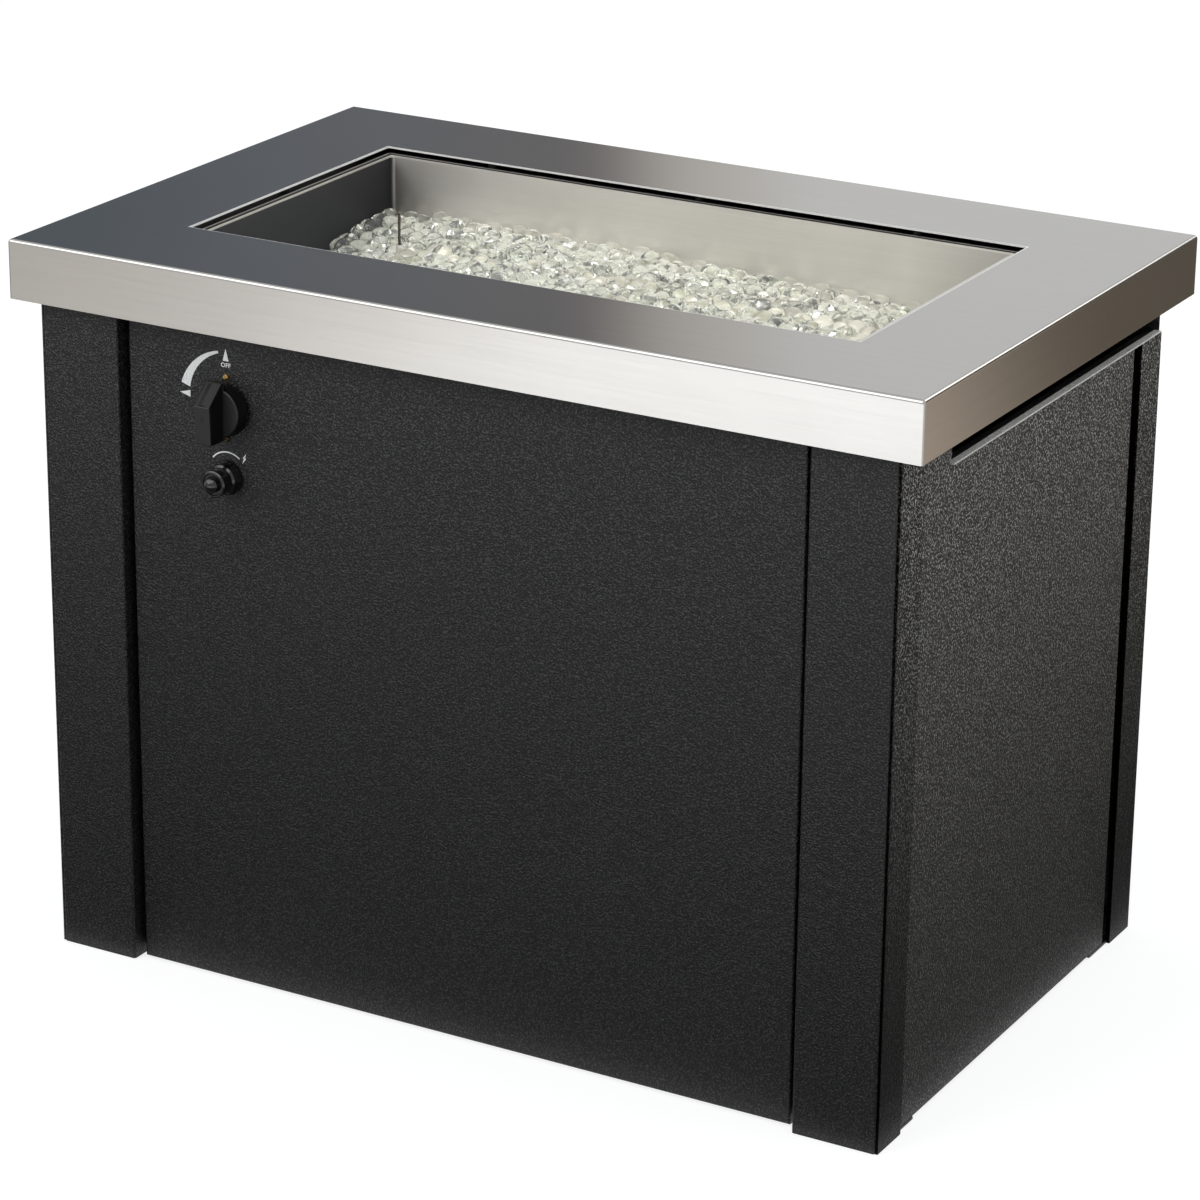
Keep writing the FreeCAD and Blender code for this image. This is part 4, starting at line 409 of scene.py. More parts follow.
# Slow changes of a surface: thin dust, wiping marks and handling
soiling, group_in, group_out = new_group(
    "soiling",
    [("Place", "NodeSocketVector", None), ("Patches per metre", "NodeSocketFloat", 6.0)],
    [("Mask", "NodeSocketFloat")],
)
cloud = add_noise(soiling, group_in.outputs[0], group_in.outputs[1], 5.0, 0.6)
put_link(soiling, add_ramp(soiling, cloud, [(0.35, 0.0), (0.68, 1.0)]), group_out.inputs[0])


BASE_HEIGHT = 0.54
SEAM_RAMP_REACH = 0.5


def coat_finish(name, dark, light, roughness, speck, grains, relief, foot=0.75, gloss=0.5):
    """Powder coat: its tone; its tall grains' tone, share, number, height, share at the foot, with painted
    light making them lighter towards the top; gloss.
    """
    material, own, shader, spot = new_finish(name, dark, 0.0, roughness)
    grain = use_group(own, coat_grain, {"Place": spot, "Grains per metre": grains})
    dust = use_group(own, soiling, {"Place": spot, "Patches per metre": 5.0})[0]
    body = add_mix(own, dust, dark, tuple(1.22 * c for c in dark))
    # Painted light: the tall grains grow lighter towards the top of the base, standing in for more light
    # falling there
    rise = add_math(own, "DIVIDE", place_parts(own)[2], BASE_HEIGHT, clamp=True)
    rise = add_math(own, "POWER", rise, 2.0)
    painted_top_light = add_math(own, "MULTIPLY_ADD", rise, (1.0 - foot) * speck, foot * speck)
    top = add_math(own, "MULTIPLY", grain[1], painted_top_light)
    put_link(own, add_mix(own, top, body, light), shader.inputs["Base Color"])
    put_link(own, add_math(own, "MULTIPLY_ADD", grain[1], -0.12, roughness), shader.inputs["Roughness"])
    shader.inputs["Specular IOR Level"].default_value = gloss
    add_bump(own, shader, grain[0], 1.0, relief)
    return material


def paint_seam_shade(material, stops):
    """Paints deep shade black, with no reflection, into a narrow seam and beside a gap, by stops from the
    front (0) to the rear (1).
    """
    own = material.node_tree
    depth = add_math(own, "ADD", place_parts(own)[1], SEAM_RAMP_REACH / 2)
    depth = add_math(own, "DIVIDE", depth, SEAM_RAMP_REACH)
    seam = add_ramp(own, depth, stops)
    paint_over(material, seam, (0.0, 0.0, 0.0))
    put_link(own, seam, own.nodes["Principled BSDF"].inputs["Metallic"])


# Painted shade: black down the seam at the near front corner, and in a narrow band beside the gap between
# door and rear post
FRONT_CORNER_SEAM = [(0.0, 1.0), (0.0268, 1.0), (0.0278, 0.0)]
REAR_GAP_SHADE = [(0.920, 0.0), (0.9205, 1.0), (0.9266, 1.0), (0.9276, 0.0)]
powder_coat = coat_finish(
    "black_powder_coat", (0.0022, 0.0022, 0.0023), (0.078, 0.078, 0.081), 0.45, 0.8, 620.0, 0.0011, 0.56, 0.35
)
post_coat_with_shade = powder_coat.copy()
post_coat_with_shade.name = "rear_posts_painted_shade_coat"
paint_seam_shade(post_coat_with_shade, REAR_GAP_SHADE)
door_coat = coat_finish(
    "door_powder_coat", (0.0022, 0.0021, 0.0020), (0.500, 0.489, 0.464), 0.50, 0.9, 540.0, 0.0017, 0.19, 0.33
)
strip_coat = coat_finish(
    "strip_powder_coat", (0.0020, 0.0020, 0.0020), (0.500, 0.490, 0.466), 0.50, 0.9, 580.0, 0.0015, 0.02, 0.15
)
paint_seam_shade(strip_coat, FRONT_CORNER_SEAM + REAR_GAP_SHADE)
# The headers' lips are light grey, partly their own finish and partly painted light; further in from the
# outer edge, painted shade makes them black
HEADER_LIT_EDGE = 0.0060
rail_coat = coat_finish("header_grey_coat", (0.60, 0.59, 0.56), (1.0, 0.98, 0.95), 0.50, 0.9, 580.0, 0.0012)
own = rail_coat.node_tree
off_middle = add_math(own, "ABSOLUTE", place_parts(own)[0])
inner = add_math(own, "LESS_THAN", off_middle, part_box("right_header")[1].x - HEADER_LIT_EDGE)
# Painted shade: black over the lip inward of its lit outer edge
paint_over(rail_coat, inner, (0.004, 0.004, 0.004))
dress(
    [
        "front_left_post", "front_right_post",
        "front_left_strip", "rear_left_strip",
        "front_panel", "rear_panel", "left_panel", "front_frame", "rear_frame",
        "floor_shelf", "heat_shield",
    ],
    powder_coat,
)
dress(["access_door"], door_coat)
dress(["rear_left_post", "rear_right_post"], post_coat_with_shade)
dress(["front_right_strip", "rear_right_strip"], strip_coat)
dress(["right_header", "left_header"], rail_coat)

# ---- Stainless top ----
# One sheet of 1.5 mm stainless, folded down into an apron all round with welded corners and a cut opening.
# It is brushed along its length, its end aprons from front to rear; a painted highlight, pale and not
# metallic, lies along the opening's edge, mostly at its two ends.
BRUSH_LAY = (0.01, 0.25, 1.0)
BRUSH_LAYERS = ((0.006, 1.0, 2.0), (0.0012, 0.07, 3.0))
TONE_SHARE = 0.9
OPENING_HALF_X, OPENING_REACH_Y, OPENING_MIDDLE_Y = 0.3048, 0.153, 0.008
HIGHLIGHT_WIDTH, HIGHLIGHT_DEPTH = 0.0011, 0.0020


def add_choice(tree, mask, first, second):
    """The first value where the mask is 0, and the second where it is 1."""
    node = tree.nodes.new("ShaderNodeMix")
    node.data_type = "FLOAT"
    for place, value in ((0, mask), (2, first), (3, second)):
        put_link(tree, value, node.inputs[place])
    return node.outputs[0]


brushing, group_in, group_out = new_group(
    "brushing",
    [("Place", "NodeSocketVector", None), ("Lines per metre", "NodeSocketFloat", 1400.0)],
    [("Line", "NodeSocketFloat"), ("Broad", "NodeSocketFloat")],
)
face = brushing.nodes.new("ShaderNodeNewGeometry")
parts = brushing.nodes.new("ShaderNodeSeparateXYZ")
put_link(brushing, group_in.outputs[0], parts.inputs[0])
face_parts = brushing.nodes.new("ShaderNodeSeparateXYZ")
put_link(brushing, face.outputs["Normal"], face_parts.inputs[0])
on_end = add_math(brushing, "GREATER_THAN", add_math(brushing, "ABSOLUTE", face_parts.outputs[0]), 0.75)
along = add_choice(brushing, on_end, parts.outputs[0], parts.outputs[1])
across = add_choice(brushing, on_end, parts.outputs[1], parts.outputs[0])
for row, (along_share, across_share, detail) in enumerate(BRUSH_LAYERS):
    joined = brushing.nodes.new("ShaderNodeCombineXYZ")
    put_link(brushing, add_math(brushing, "MULTIPLY", along, along_share), joined.inputs[0])
    put_link(brushing, add_math(brushing, "MULTIPLY", across, across_share), joined.inputs[1])
    put_link(brushing, add_math(brushing, "MULTIPLY", parts.outputs[2], across_share), joined.inputs[2])
    lines = add_noise(brushing, joined.outputs[0], group_in.outputs[1], detail, 0.65)
    put_link(brushing, lines, group_out.inputs[row])


def steel_finish(name, colour, roughness, stretch, lines, relief, blotch):
    """Brushed or rolled stainless: tone, gloss, stretch of reflections, lines and their depth, patches."""
    material, own, shader, spot = new_finish(name, colour, 1.0, roughness)
    shader.inputs["Anisotropic"].default_value = stretch
    lay = own.nodes.new("ShaderNodeCombineXYZ")
    for axis, share in enumerate(BRUSH_LAY):
        lay.inputs[axis].default_value = share
    put_link(own, lay.outputs[0], shader.inputs["Tangent"])
    line = use_group(own, brushing, {"Place": spot, "Lines per metre": lines})
    patch = use_group(own, soiling, {"Place": spot, "Patches per metre": 3.0})[0]
    shade = add_math(own, "MULTIPLY_ADD", line[0], 0.14, 0.93)
    broad = add_math(own, "MULTIPLY_ADD", line[1], 0.10, 0.95)
    share = add_math(own, "MULTIPLY", add_math(own, "MULTIPLY", shade, broad), TONE_SHARE)
    tone = add_mix(own, share, (0.0, 0.0, 0.0), tuple(c / TONE_SHARE for c in colour))
    put_link(own, tone, shader.inputs["Base Color"])
    put_link(own, add_math(own, "MULTIPLY_ADD", patch, blotch, roughness), shader.inputs["Roughness"])
    add_bump(own, shader, line[0], relief, 0.00002)
    return material


top_steel = steel_finish("brushed_stainless", (0.362, 0.358, 0.346), 0.135, 0.8, 2600.0, 0.35, 0.03)
own = top_steel.node_tree
place = place_parts(own)
# Painted highlight: a pale, non-metallic line on the deck along the opening's edge
past_end = add_math(own, "SUBTRACT", add_math(own, "ABSOLUTE", place[0]), OPENING_HALF_X)
off_side = add_math(own, "ABSOLUTE", add_math(own, "SUBTRACT", place[1], OPENING_MIDDLE_Y))
edge_highlight = add_math(own, "GREATER_THAN", place[2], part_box("table_top")[1].z - HIGHLIGHT_DEPTH)
edge_highlight = add_math(own, "MULTIPLY", edge_highlight, add_math(own, "LESS_THAN", past_end, HIGHLIGHT_WIDTH))
edge_highlight = add_math(own, "MULTIPLY", edge_highlight, add_math(own, "LESS_THAN", off_side, OPENING_REACH_Y))
paint_over(top_steel, edge_highlight, (0.90, 0.89, 0.86))
put_link(own, add_math(own, "SUBTRACT", 1.0, edge_highlight), own.nodes["Principled BSDF"].inputs["Metallic"])
dress(["table_top"], top_steel)

# ---- Channels, pan and burner ----
# The pan is pressed from 1.2 mm stainless with a raised bead round its mouth, and hangs on studs.
# Its looped burner tube lies on two saddles and is held by one nut; heat has left it straw-coloured.
PAN_HALF_X, PAN_HALF_Y = 0.2958, 0.1434
PAN_BEAD_HEIGHT, RIM_SHADE_REACH, END_SHADE_REACH = 0.0014, 0.01, 0.5
PAN_MIDDLE_Y = (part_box("burner_pan")[0].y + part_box("burner_pan")[1].y) / 2
pan_steel = steel_finish("rolled_stainless", (0.690, 0.667, 0.625), 0.42, 0.3, 1500.0, 0.35, 0.08)
own = pan_steel.node_tree
place = place_parts(own)
# Painted shade: the end walls are painted dark, standing in for the shade and dark reflections on them, and
# the pan's floor darkens towards them
off_end = add_math(own, "ABSOLUTE", place[0])
end_wall_shade = add_math(own, "DIVIDE", off_end, END_SHADE_REACH)
end_wall_shade = add_ramp(own, end_wall_shade, [(0.40, 0.0), (0.586, 0.30), (0.5895, 1.0)])
under_rim = add_math(own, "LESS_THAN", place[2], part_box("burner_pan")[1].z - PAN_BEAD_HEIGHT)
paint_over(pan_steel, add_math(own, "MULTIPLY", end_wall_shade, under_rim), (0.068, 0.070, 0.078))
# Painted shade: the middle of the raised bead, between its two edges, and the flange outside it are painted
# near-black
off_side = add_math(own, "ABSOLUTE", add_math(own, "SUBTRACT", place[1], PAN_MIDDLE_Y))
past_end = add_math(own, "SUBTRACT", off_end, PAN_HALF_X)
past_side = add_math(own, "SUBTRACT", off_side, PAN_HALF_Y)
outward = add_math(own, "DIVIDE", add_math(own, "MAXIMUM", past_end, past_side), RIM_SHADE_REACH)
rim_shade = add_ramp(own, outward, [(0.12, 0.0), (0.18, 1.0), (0.50, 1.0), (0.58, 0.0), (0.74, 0.0), (0.78, 1.0)])
paint_over(pan_steel, rim_shade, (0.015, 0.015, 0.015))
dress(["burner_pan"], pan_steel)
burner_steel = steel_finish("heat_tinted_stainless", (0.80, 0.77, 0.68), 0.45, 0.0, 1500.0, 0.35, 0.10)
dress(["burner", "left_burner_saddle", "right_burner_saddle", "electrode_bracket"], burner_steel)


def plated_finish(name, colour, roughness, cloud_share):
    """Plated or turned metal: its tone, gloss, and how cloudy the plating is."""
    material, own, shader, spot = new_finish(name, colour, 1.0, roughness)
    patch = use_group(own, soiling, {"Place": spot, "Patches per metre": 60.0})[0]
    tint = add_mix(own, patch, colour, tuple(c * (1.0 - cloud_share) for c in colour))
    put_link(own, tint, shader.inputs["Base Color"])
    put_link(own, add_math(own, "MULTIPLY_ADD", patch, 0.14, roughness), shader.inputs["Roughness"])
    add_bump(own, shader, add_noise(own, spot, 2400.0, 1.0), 0.15, 0.00003)
    return material


zinc = plated_finish("zinc_plate", (0.50, 0.51, 0.52), 0.32, 0.3)
dark_steel = plated_finish("blackened_steel", (0.035, 0.034, 0.033), 0.45, 0.3)
dress(["front_top_channel", "rear_top_channel", "pan_spacers"], dark_steel)
dress(
    [
        "pan_nuts", "post_nuts", "burner_locknut", "feed_elbow", "air_mixer",
        "panel_screws", "strike_plate", "hinge_pins",
    ],
    zinc,
)
dress(["lower_hinge_bracket", "upper_hinge_bracket", "door_rest"], powder_coat)

# ---- Fire glass ----
# Loose pieces of clear tumbled glass, 13 to 20 mm, poured into the pan over the burner; none is fixed.
# They lie highest along the rear and fall away at the front left. A packed bed lies under the loose ones.
TABLE_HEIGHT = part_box("table_top")[1].z
PAN_WALL_ROOM = 0.0015
GLASS_HALF_X, GLASS_HALF_Y = PAN_HALF_X - PAN_WALL_ROOM, PAN_HALF_Y - PAN_WALL_ROOM
GLASS_CROWN_DROP = 0.045
GLASS_RIGHT_FALL, GLASS_LEFT_FALL, GLASS_FRONT_FALL = 0.0115, 0.016, 0.004
GLASS_PITCH = 0.0165
GLASS_LUMP = 0.009
GLASS_UNEVEN = 0.0045
GLASS_SCATTER = 0.004
GLASS_LAYER = 0.027
GLASS_BED_THICKNESS = 0.006
BURNER_HALF_X, BURNER_HALF_Y, BURNER_ROOM = 0.215, 0.065, 0.019
BURNER_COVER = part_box("burner")[1].z + 0.0006


def glass_level(x, y):
    """How high the heap lies: it falls from the rear to the right end, the front and the front left."""
    u = x / PAN_HALF_X
    v = (y - PAN_MIDDLE_Y) / PAN_HALF_Y
    right = GLASS_RIGHT_FALL * np.clip((u + 0.3) / 1.3, 0.0, 1.0)
    left = GLASS_LEFT_FALL * np.clip((-u - 0.5) / 0.5, 0.0, 1.0) * np.clip((0.68 - v) / 0.6, 0.0, 1.0)
    front = GLASS_FRONT_FALL * np.clip((-v - 0.75) / 0.25, 0.0, 1.0)
    return TABLE_HEIGHT - GLASS_CROWN_DROP - right - left - front


def scatter(row, place, kind):
    """A share from 0 to 1 that looks random and is the same at every run."""
    value = 43758.5453 * math.sin(12.9898 * row + 78.233 * place + 37.719 * kind)
    return value - math.floor(value)


def glass_crests():
    """Places and heights of the loose pieces on top: every third knot of the net over the solid heap."""
    step = GLASS_PITCH / math.sqrt(3)
    columns = 3 * round((2 * GLASS_HALF_X / step - 2) / 3) + 2
    lines = 2 * round(GLASS_HALF_Y / (step * math.sqrt(3) / 2))
    crests = []
    for row in range(1, lines):
        odd = row % 2
        for place in range(1, columns + odd):
            if place % 3 != 1 - odd:
                continue
            x = GLASS_HALF_X * (2 * (place - odd / 2) / columns - 1)
            x += GLASS_SCATTER * (scatter(row, place, 1) - 0.5)
            y = GLASS_HALF_Y * (2 * row / lines - 1) + GLASS_SCATTER * (scatter(row, place, 2) - 0.5)
            z = glass_level(x, y + PAN_MIDDLE_Y) - GLASS_UNEVEN * scatter(row, place, 3)
            if abs(x) < BURNER_HALF_X + BURNER_ROOM and abs(y) < BURNER_HALF_Y + BURNER_ROOM:
                z = max(z, BURNER_COVER + GLASS_UNEVEN)
            crests.append((x, y + PAN_MIDDLE_Y, float(z), scatter(row, place, 4)))
    return crests


clear_selection()
bpy.ops.mesh.primitive_grid_add(x_subdivisions=72, y_subdivisions=36, size=1.0, location=(0.0, 0.0, 0.0))
glass_bed = bpy.context.object
glass_bed.name = "glass_bed"
bpy.ops.object.mode_set(mode="EDIT")
bpy.ops.mesh.select_all(action="SELECT")
bpy.ops.transform.resize(value=(2 * GLASS_HALF_X, 2 * GLASS_HALF_Y, 1.0))
bpy.ops.transform.translate(value=(0.0, PAN_MIDDLE_Y, 0.0))
bpy.ops.object.mode_set(mode="OBJECT")
for corner in glass_bed.data.vertices:
    corner.co.z = float(glass_level(corner.co.x, corner.co.y)) - GLASS_LAYER
bpy.ops.object.mode_set(mode="EDIT")
bpy.ops.mesh.select_all(action="SELECT")
bpy.ops.mesh.extrude_region_move(TRANSFORM_OT_translate={"value": (0.0, 0.0, -GLASS_BED_THICKNESS)})
bpy.ops.mesh.select_all(action="SELECT")
bpy.ops.mesh.normals_make_consistent(inside=False)
bpy.ops.object.mode_set(mode="OBJECT")
material, own, shader, spot = new_finish("packed_glass", (0.80, 0.79, 0.74), 0.0, 0.25)
cells = own.nodes.new("ShaderNodeTexVoronoi")
cells.inputs["Scale"].default_value = 85.0
put_link(own, spot, cells.inputs["Vector"])
# Painted shade: the bed is lighter in the middle of each cell and darker between cells, where shade falls
# between packed pieces
tone = add_ramp(
    own,
    cells.outputs["Distance"],
    [(0.0, (1.0, 0.985, 0.87)), (0.55, (0.88, 0.865, 0.76)), (0.9, (0.50, 0.49, 0.43))],
)
put_link(own, tone, shader.inputs["Base Color"])
add_bump(own, shader, cells.outputs["Distance"], 0.8, -0.004)
glass_bed.data.materials.append(material)
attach(glass_bed, "table")

# Five shapes of piece, each pressed and softened from a rounded ball
PIECE_SHAPES = (
    ((1.00, 0.90, 0.80), 0.06, 11),
    ((1.04, 0.94, 0.74), 0.08, 23),
    ((0.96, 0.96, 0.88), 0.05, 37),
    ((1.08, 0.86, 0.78), 0.07, 41),
    ((1.00, 0.92, 0.70), 0.09, 53),
)
shapes = []
for stretch, unevenness, seed in PIECE_SHAPES:
    clear_selection()
    bpy.ops.mesh.primitive_ico_sphere_add(subdivisions=2, radius=1.0, location=(0.0, 0.0, 0.0))
    pattern = bpy.context.object
    bpy.ops.object.mode_set(mode="EDIT")
    bpy.ops.mesh.select_all(action="SELECT")
    bpy.ops.transform.vertex_random(offset=unevenness, seed=seed)
    bpy.ops.mesh.vertices_smooth(factor=0.35)
    bpy.ops.transform.resize(value=stretch)
    bpy.ops.object.mode_set(mode="OBJECT")
    points = np.array([v.co[:] for v in pattern.data.vertices])
    points /= np.linalg.norm(points, axis=1).max()
    faces = np.array([p.vertices[:] for p in pattern.data.polygons])
    shapes.append((points, faces))
    bpy.data.objects.remove(pattern)

# Pour: below the top layer each piece tries a few spots and comes to rest in the lowest one, on those there
POUR_SEED, POUR_LIMIT, POUR_MISSES, POUR_TRIES = 29, 4200, 700, 10
POUR_LIFT, POUR_ROOM, TOO_HIGH = 0.002, 0.0012, 9.0
PIECE_RADII = (0.0066, 0.0090)
PIECE_SHARE_ON_BED, PIECE_SHARE_ON_PIECE, PIECE_SHARE_ABOVE = 0.75, 0.90, 0.80
CREST_RADII, CREST_SHARE_ABOVE = (0.50, 0.09), 0.72
chance = np.random.default_rng(POUR_SEED)
rest = np.zeros((POUR_LIMIT, 4))
count = 0
misses = 0
while misses < POUR_MISSES and count < len(rest):
    radius = chance.uniform(*PIECE_RADII)
    x = chance.uniform(radius - GLASS_HALF_X, GLASS_HALF_X - radius, POUR_TRIES)
    y = PAN_MIDDLE_Y + chance.uniform(radius - GLASS_HALF_Y, GLASS_HALF_Y - radius, POUR_TRIES)
    level = glass_level(x, y) - GLASS_LUMP + POUR_LIFT
    z = level - GLASS_LAYER + GLASS_LUMP + PIECE_SHARE_ON_BED * radius
    if count:
        gap = (x[:, None] - rest[:count, 0]) ** 2 + (y[:, None] - rest[:count, 1]) ** 2
        reach = (PIECE_SHARE_ON_PIECE * (radius + rest[:count, 3])) ** 2 - gap
        top = np.where(reach > 0.0, rest[:count, 2] + np.sqrt(np.maximum(reach, 0.0)), 0.0).max(axis=1)
        z = np.maximum(z, top)
    over = z + PIECE_SHARE_ABOVE * radius - level
    over[over > POUR_ROOM] = TOO_HIGH
    best = int(np.argmin(over))
    if over[best] == TOO_HIGH:
        misses += 1
        continue
    misses = 0
    rest[count] = (x[best], y[best], z[best], radius)
    count += 1
poured = rest[:count]
laid = []
for x, y, crest, share in glass_crests():
    radius = GLASS_PITCH * (CREST_RADII[0] + CREST_RADII[1] * share)
    laid.append((x, y, crest - CREST_SHARE_ABOVE * radius, radius))
laid = np.array(laid)

FULL_TURN = 6.283
PIECE_SWELL = 1.04
glass, own, shader, spot = new_finish("clear_tumbled_glass", (0.985, 0.99, 0.975), 0.0, 0.03)
shader.inputs["Transmission Weight"].default_value = 0.985
shader.inputs["IOR"].default_value = 1.5
cast = add_noise(own, spot, 45.0, 1.0)
tone = add_ramp(own, cast, [(0.30, (1.0, 1.0, 0.985)), (0.75, (0.96, 0.98, 0.925))])
put_link(own, tone, shader.inputs["Base Color"])
frost = add_noise(own, spot, 700.0, 2.0)
put_link(own, add_ramp(own, frost, [(0.45, 0.012), (0.85, 0.07)]), shader.inputs["Roughness"])

for name, members, tilt in (("lower_glass_pieces", poured, 0.45), ("upper_glass_pieces", laid, 0.30)):
    all_points, all_faces, start = [], [], 0
    for x, y, z, radius in members:
        points, faces = shapes[int(chance.integers(len(shapes)))]
        turn = Matrix.Rotation(chance.uniform(0.0, FULL_TURN), 3, "Z")
        turn = turn @ Matrix.Rotation(chance.normal(0.0, tilt), 3, "X")
        turn = np.array(turn @ Matrix.Rotation(chance.uniform(0.0, FULL_TURN), 3, "Z"))
        all_points.append(points @ turn.T * radius * PIECE_SWELL + (x, y, z))
        all_faces.append(faces + start)
        start += len(points)
    mesh = bpy.data.meshes.new(name)
    mesh.from_pydata(np.vstack(all_points).tolist(), [], np.vstack(all_faces).tolist())
    heap = bpy.data.objects.new(name, mesh)
    scene.collection.objects.link(heap)
    mesh.materials.append(glass)
    mesh.shade_smooth()
    heap.visible_shadow = False
    heap.visible_diffuse = False
    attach(heap, "table")
    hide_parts("fire_glass")
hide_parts("fire_glass")

# ---- Spark electrode and gas feed ----
# A steel rod in a glazed white ceramic insulator stands in the glass; its lead runs back to the igniter.
# The valve feeds the brass orifice, and that the air mixer, through an aluminium tube with flare nuts.
ROD_LENGTH = 0.0325


def ceramic_and_rod(name):
    """White glaze on the lower part and bare, heat-darkened steel above it."""
    material, own, shader, spot = new_finish(name, (0.80, 0.79, 0.75), 0.0, 0.25)
    bare = add_math(own, "GREATER_THAN", place_parts(own)[2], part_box("spark_electrode")[1].z - ROD_LENGTH)
    speck = use_group(own, soiling, {"Place": spot, "Patches per metre": 220.0})[0]
    glaze = add_mix(own, speck, (0.80, 0.79, 0.75), (0.66, 0.63, 0.56))
    steel = add_mix(own, speck, (0.10, 0.085, 0.07), (0.20, 0.17, 0.14))
    put_link(own, add_mix(own, bare, glaze, steel), shader.inputs["Base Color"])
    put_link(own, bare, shader.inputs["Metallic"])
    put_link(own, add_ramp(own, bare, [(0.0, 0.22), (1.0, 0.42)]), shader.inputs["Roughness"])
    return material


dress(["spark_electrode"], ceramic_and_rod("glazed_ceramic_and_rod"))
brass = plated_finish("turned_brass", (0.60, 0.42, 0.17), 0.26, 0.35)
dress(["gas_orifice", "gas_line_nuts", "valve_rotor"], brass)
# The lower screw lies in the knob's shadow: below the knob's height, painted shade darkens its brass to dark
# bronze
KNOB_X, KNOB_HEIGHT = -0.2125, 0.5065
shaded_screw_brass = brass.copy()
shaded_screw_brass.name = "shaded_screw_brass"
lower = add_math(shaded_screw_brass.node_tree, "LESS_THAN", place_parts(shaded_screw_brass.node_tree)[2], KNOB_HEIGHT)
paint_over(shaded_screw_brass, lower, (0.050, 0.036, 0.018))
dress(["valve_screws"], shaded_screw_brass)
aluminium = plated_finish("cast_aluminium", (0.54, 0.54, 0.53), 0.42, 0.25)
dress(["gas_line", "valve_body"], aluminium)
dress(["valve_stem"], zinc)
spring_steel = plated_finish("spring_steel", (0.36, 0.36, 0.37), 0.30, 0.3)
dress(["valve_spring", "igniter_spring"], spring_steel)


def moulded_finish(name, dark, roughness, grains, relief):
    """Moulded plastic or rubber: its tone, gloss and moulded grain."""
    material, own, shader, spot = new_finish(name, dark, 0.0, roughness)
    patch = use_group(own, soiling, {"Place": spot, "Patches per metre": 70.0})[0]
    put_link(own, add_mix(own, patch, dark, tuple(1.3 * c for c in dark)), shader.inputs["Base Color"])
    put_link(own, add_math(own, "MULTIPLY_ADD", patch, 0.10, roughness), shader.inputs["Roughness"])
    add_bump(own, shader, add_noise(own, spot, grains, 2.0), relief, 0.0001)
    return material


dress(["ignition_lead"], moulded_finish("silicone_lead", (0.30, 0.045, 0.03), 0.45, 1500.0, 0.1))
dress(["igniter_cell"], moulded_finish("cell_jacket", (0.12, 0.13, 0.15), 0.30, 900.0, 0.05))
glide_plastic = moulded_finish("glide_plastic", (0.014, 0.014, 0.014), 0.50, 1800.0, 0.2)
dress(["corner_glides", "magnet_catch"], glide_plastic)

# ---- Control knob and igniter ----
# The knob is one moulding in satin black plastic: a tapered skirt, a wedge-shaped grip and a ridge on it;
# painted light makes the disc and the grip's front greyer. It is pushed on the stem's flat.
# The igniter's fluted bezel, cap and domed push button are glossy black plastic, screwed on from outside.
PANEL_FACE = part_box("front_panel")[0].y
KNOB_DISC_OUT, KNOB_LIT_DISC_DEPTH, KNOB_GRIP_OUT, KNOB_BREAK_HEIGHT = 0.0150, 0.0011, 0.0335, 0.5166
knob_plastic = moulded_finish("satin_knob_plastic", (0.0022, 0.0022, 0.0023), 0.33, 2600.0, 0.12)
knob_plastic.node_tree.nodes["Principled BSDF"].inputs["Specular IOR Level"].default_value = 0.24
own = knob_plastic.node_tree
place = place_parts(own)
# Painted light: the skirt's disc face and the grip's low front are painted greyer
outward = add_math(own, "SUBTRACT", PANEL_FACE, place[1])
disc = add_math(own, "SUBTRACT", outward, KNOB_DISC_OUT)
disc = add_math(own, "LESS_THAN", add_math(own, "ABSOLUTE", disc), KNOB_LIT_DISC_DEPTH)
grip = add_math(own, "GREATER_THAN", outward, KNOB_GRIP_OUT)
grip = add_math(own, "MULTIPLY", grip, add_math(own, "LESS_THAN", place[2], KNOB_BREAK_HEIGHT))
paint_over(knob_plastic, add_math(own, "MAXIMUM", disc, grip), (0.026, 0.026, 0.027))
dress(["control_knob"], knob_plastic)
igniter_plastic = moulded_finish("glossy_igniter_plastic", (0.0035, 0.0035, 0.0038), 0.13, 1200.0, 0.03)
dress(["igniter_case", "igniter_bezel", "igniter_cap", "igniter_button"], igniter_plastic)

# ---- Printed marks ----
# White screen print on the front panel: a tapering arc for the setting, two pointers and OFF,
# and a small arc with a spark sign over the igniter. A dark pointer is printed on the knob's grip.
PRINT_DEPTH = 0.00008
GRIP_FACE_OUT, GRIP_LEAN = 0.03542, 0.0547
IGNITER_HEIGHT = 0.448
OFF_HEIGHT = 0.5403
ink, own, shader, spot = new_finish("white_print", (0.95, 0.95, 0.94), 0.0, 0.5)
wear = use_group(own, coat_grain, {"Place": spot, "Grains per metre": 620.0})
put_link(own, add_mix(own, wear[1], (0.98, 0.98, 0.97), (0.84, 0.84, 0.83)), shader.inputs["Base Color"])
add_bump(own, shader, wear[0], 0.35, 0.0004)


def print_mark(name, outline, face=PANEL_FACE, lean=0.0, body="table", finish=ink):
    """A flat mark on an upright or leaning face: an outline of x and z places with a slight thickness."""
    clear_selection()
    bpy.ops.mesh.primitive_circle_add(vertices=len(outline), fill_type="NGON", radius=0.01)
    mark = bpy.context.object
    mark.name = name
    for corner, (x, z) in zip(mark.data.vertices, outline):
        corner.co = (x, face - lean * (z - outline[0][1]), z)
    bpy.ops.object.mode_set(mode="EDIT")
    bpy.ops.mesh.select_all(action="SELECT")
    bpy.ops.mesh.extrude_region_move(TRANSFORM_OT_translate={"value": (0.0, -PRINT_DEPTH, 0.0)})
    bpy.ops.mesh.select_all(action="SELECT")
    bpy.ops.mesh.normals_make_consistent(inside=False)
    bpy.ops.object.mode_set(mode="OBJECT")
    mark.data.materials.append(finish)
    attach(mark, body)
    return mark


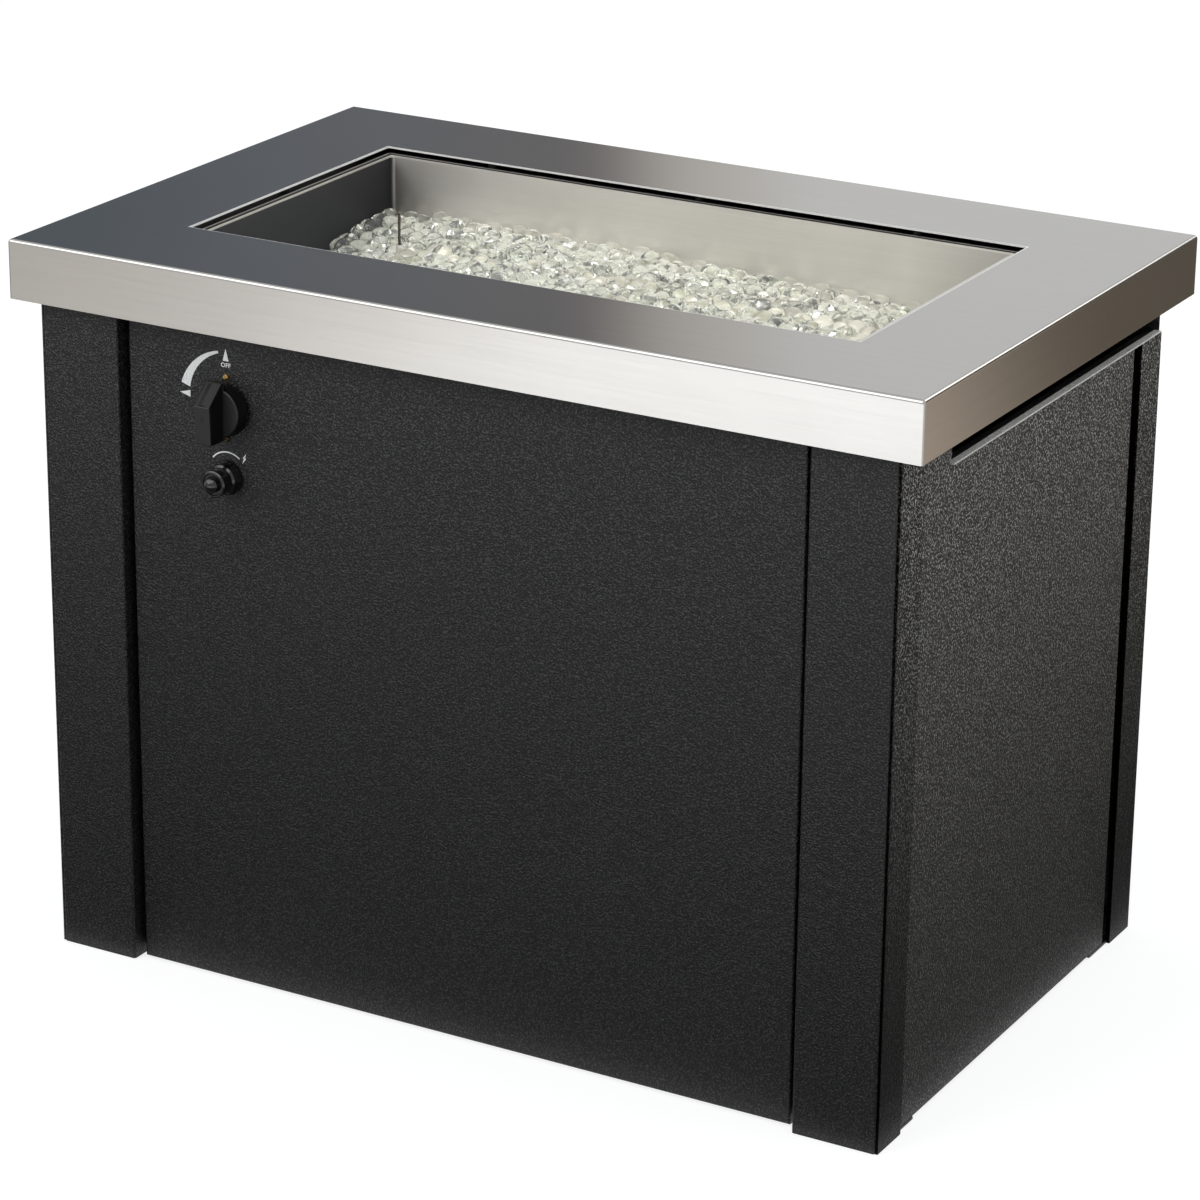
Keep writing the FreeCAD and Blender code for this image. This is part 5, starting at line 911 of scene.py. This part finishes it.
def arc_outline(centre, start, end, inner, outer, steps=28):
    """Outline of an arc whose inner and outer radii change evenly from its start to its end angle."""
    turns = [start + (end - start) * k / steps for k in range(steps + 1)]
    share = [k / steps for k in range(steps + 1)]
    far = [(outer[0] + (outer[1] - outer[0]) * s, t) for s, t in zip(share, turns)]
    near = [(inner[0] + (inner[1] - inner[0]) * s, t) for s, t in zip(share, turns)][::-1]
    return [
        (centre[0] + r * math.cos(math.radians(t)), centre[1] + r * math.sin(math.radians(t)))
        for r, t in far + near
    ]


print_mark(
    "setting_arc_mark",
    arc_outline((KNOB_X, KNOB_HEIGHT), 161.0, 99.0, (0.0368, 0.0450), (0.0456, 0.0470)),
)
print_mark("high_pointer_mark", [(-0.2574, 0.5128), (-0.2472, 0.5100), (-0.2472, 0.5156)])
print_mark("off_pointer_mark", [(-0.2125, 0.5560), (-0.2153, 0.5455), (-0.2097, 0.5455)])
print_mark(
    "igniter_arc_mark",
    arc_outline((KNOB_X, IGNITER_HEIGHT + 0.0025), 140.0, 52.0, (0.0180, 0.0180), (0.0192, 0.0192)),
)
print_mark(
    "spark_mark",
    [
        (-0.1985, 0.4615), (-0.1968, 0.4662), (-0.1981, 0.4664),
        (-0.1944, 0.4708), (-0.1957, 0.4668), (-0.1944, 0.4666),
    ],
)
clear_selection()
bpy.ops.object.text_add(location=(0.0, 0.0, 0.0))
word = bpy.context.object
word.data.body = "OFF"
word.data.size = 0.0052
word.data.offset = 0.00010
word.data.align_x = "CENTER"
word.data.extrude = PRINT_DEPTH / 2
word.data.space_character = 1.05
bpy.ops.object.convert(target="MESH")
off_mark = bpy.context.object
off_mark.name = "off_mark"
upright = Matrix.Rotation(math.radians(90.0), 4, "X")
off_mark.data.transform(Matrix.Translation((KNOB_X, PANEL_FACE - PRINT_DEPTH / 2, OFF_HEIGHT)) @ upright)
off_mark.data.materials.append(ink)
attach(off_mark, "table")
grip_paint = moulded_finish("grip_pointer_paint", (0.001, 0.001, 0.001), 0.75, 2600.0, 0.05)
print_mark(
    "grip_pointer_mark",
    [(-0.2125, 0.5105), (-0.2152, 0.5040), (-0.2098, 0.5040)],
    PANEL_FACE - GRIP_FACE_OUT, GRIP_LEAN, "knob", grip_paint,
)
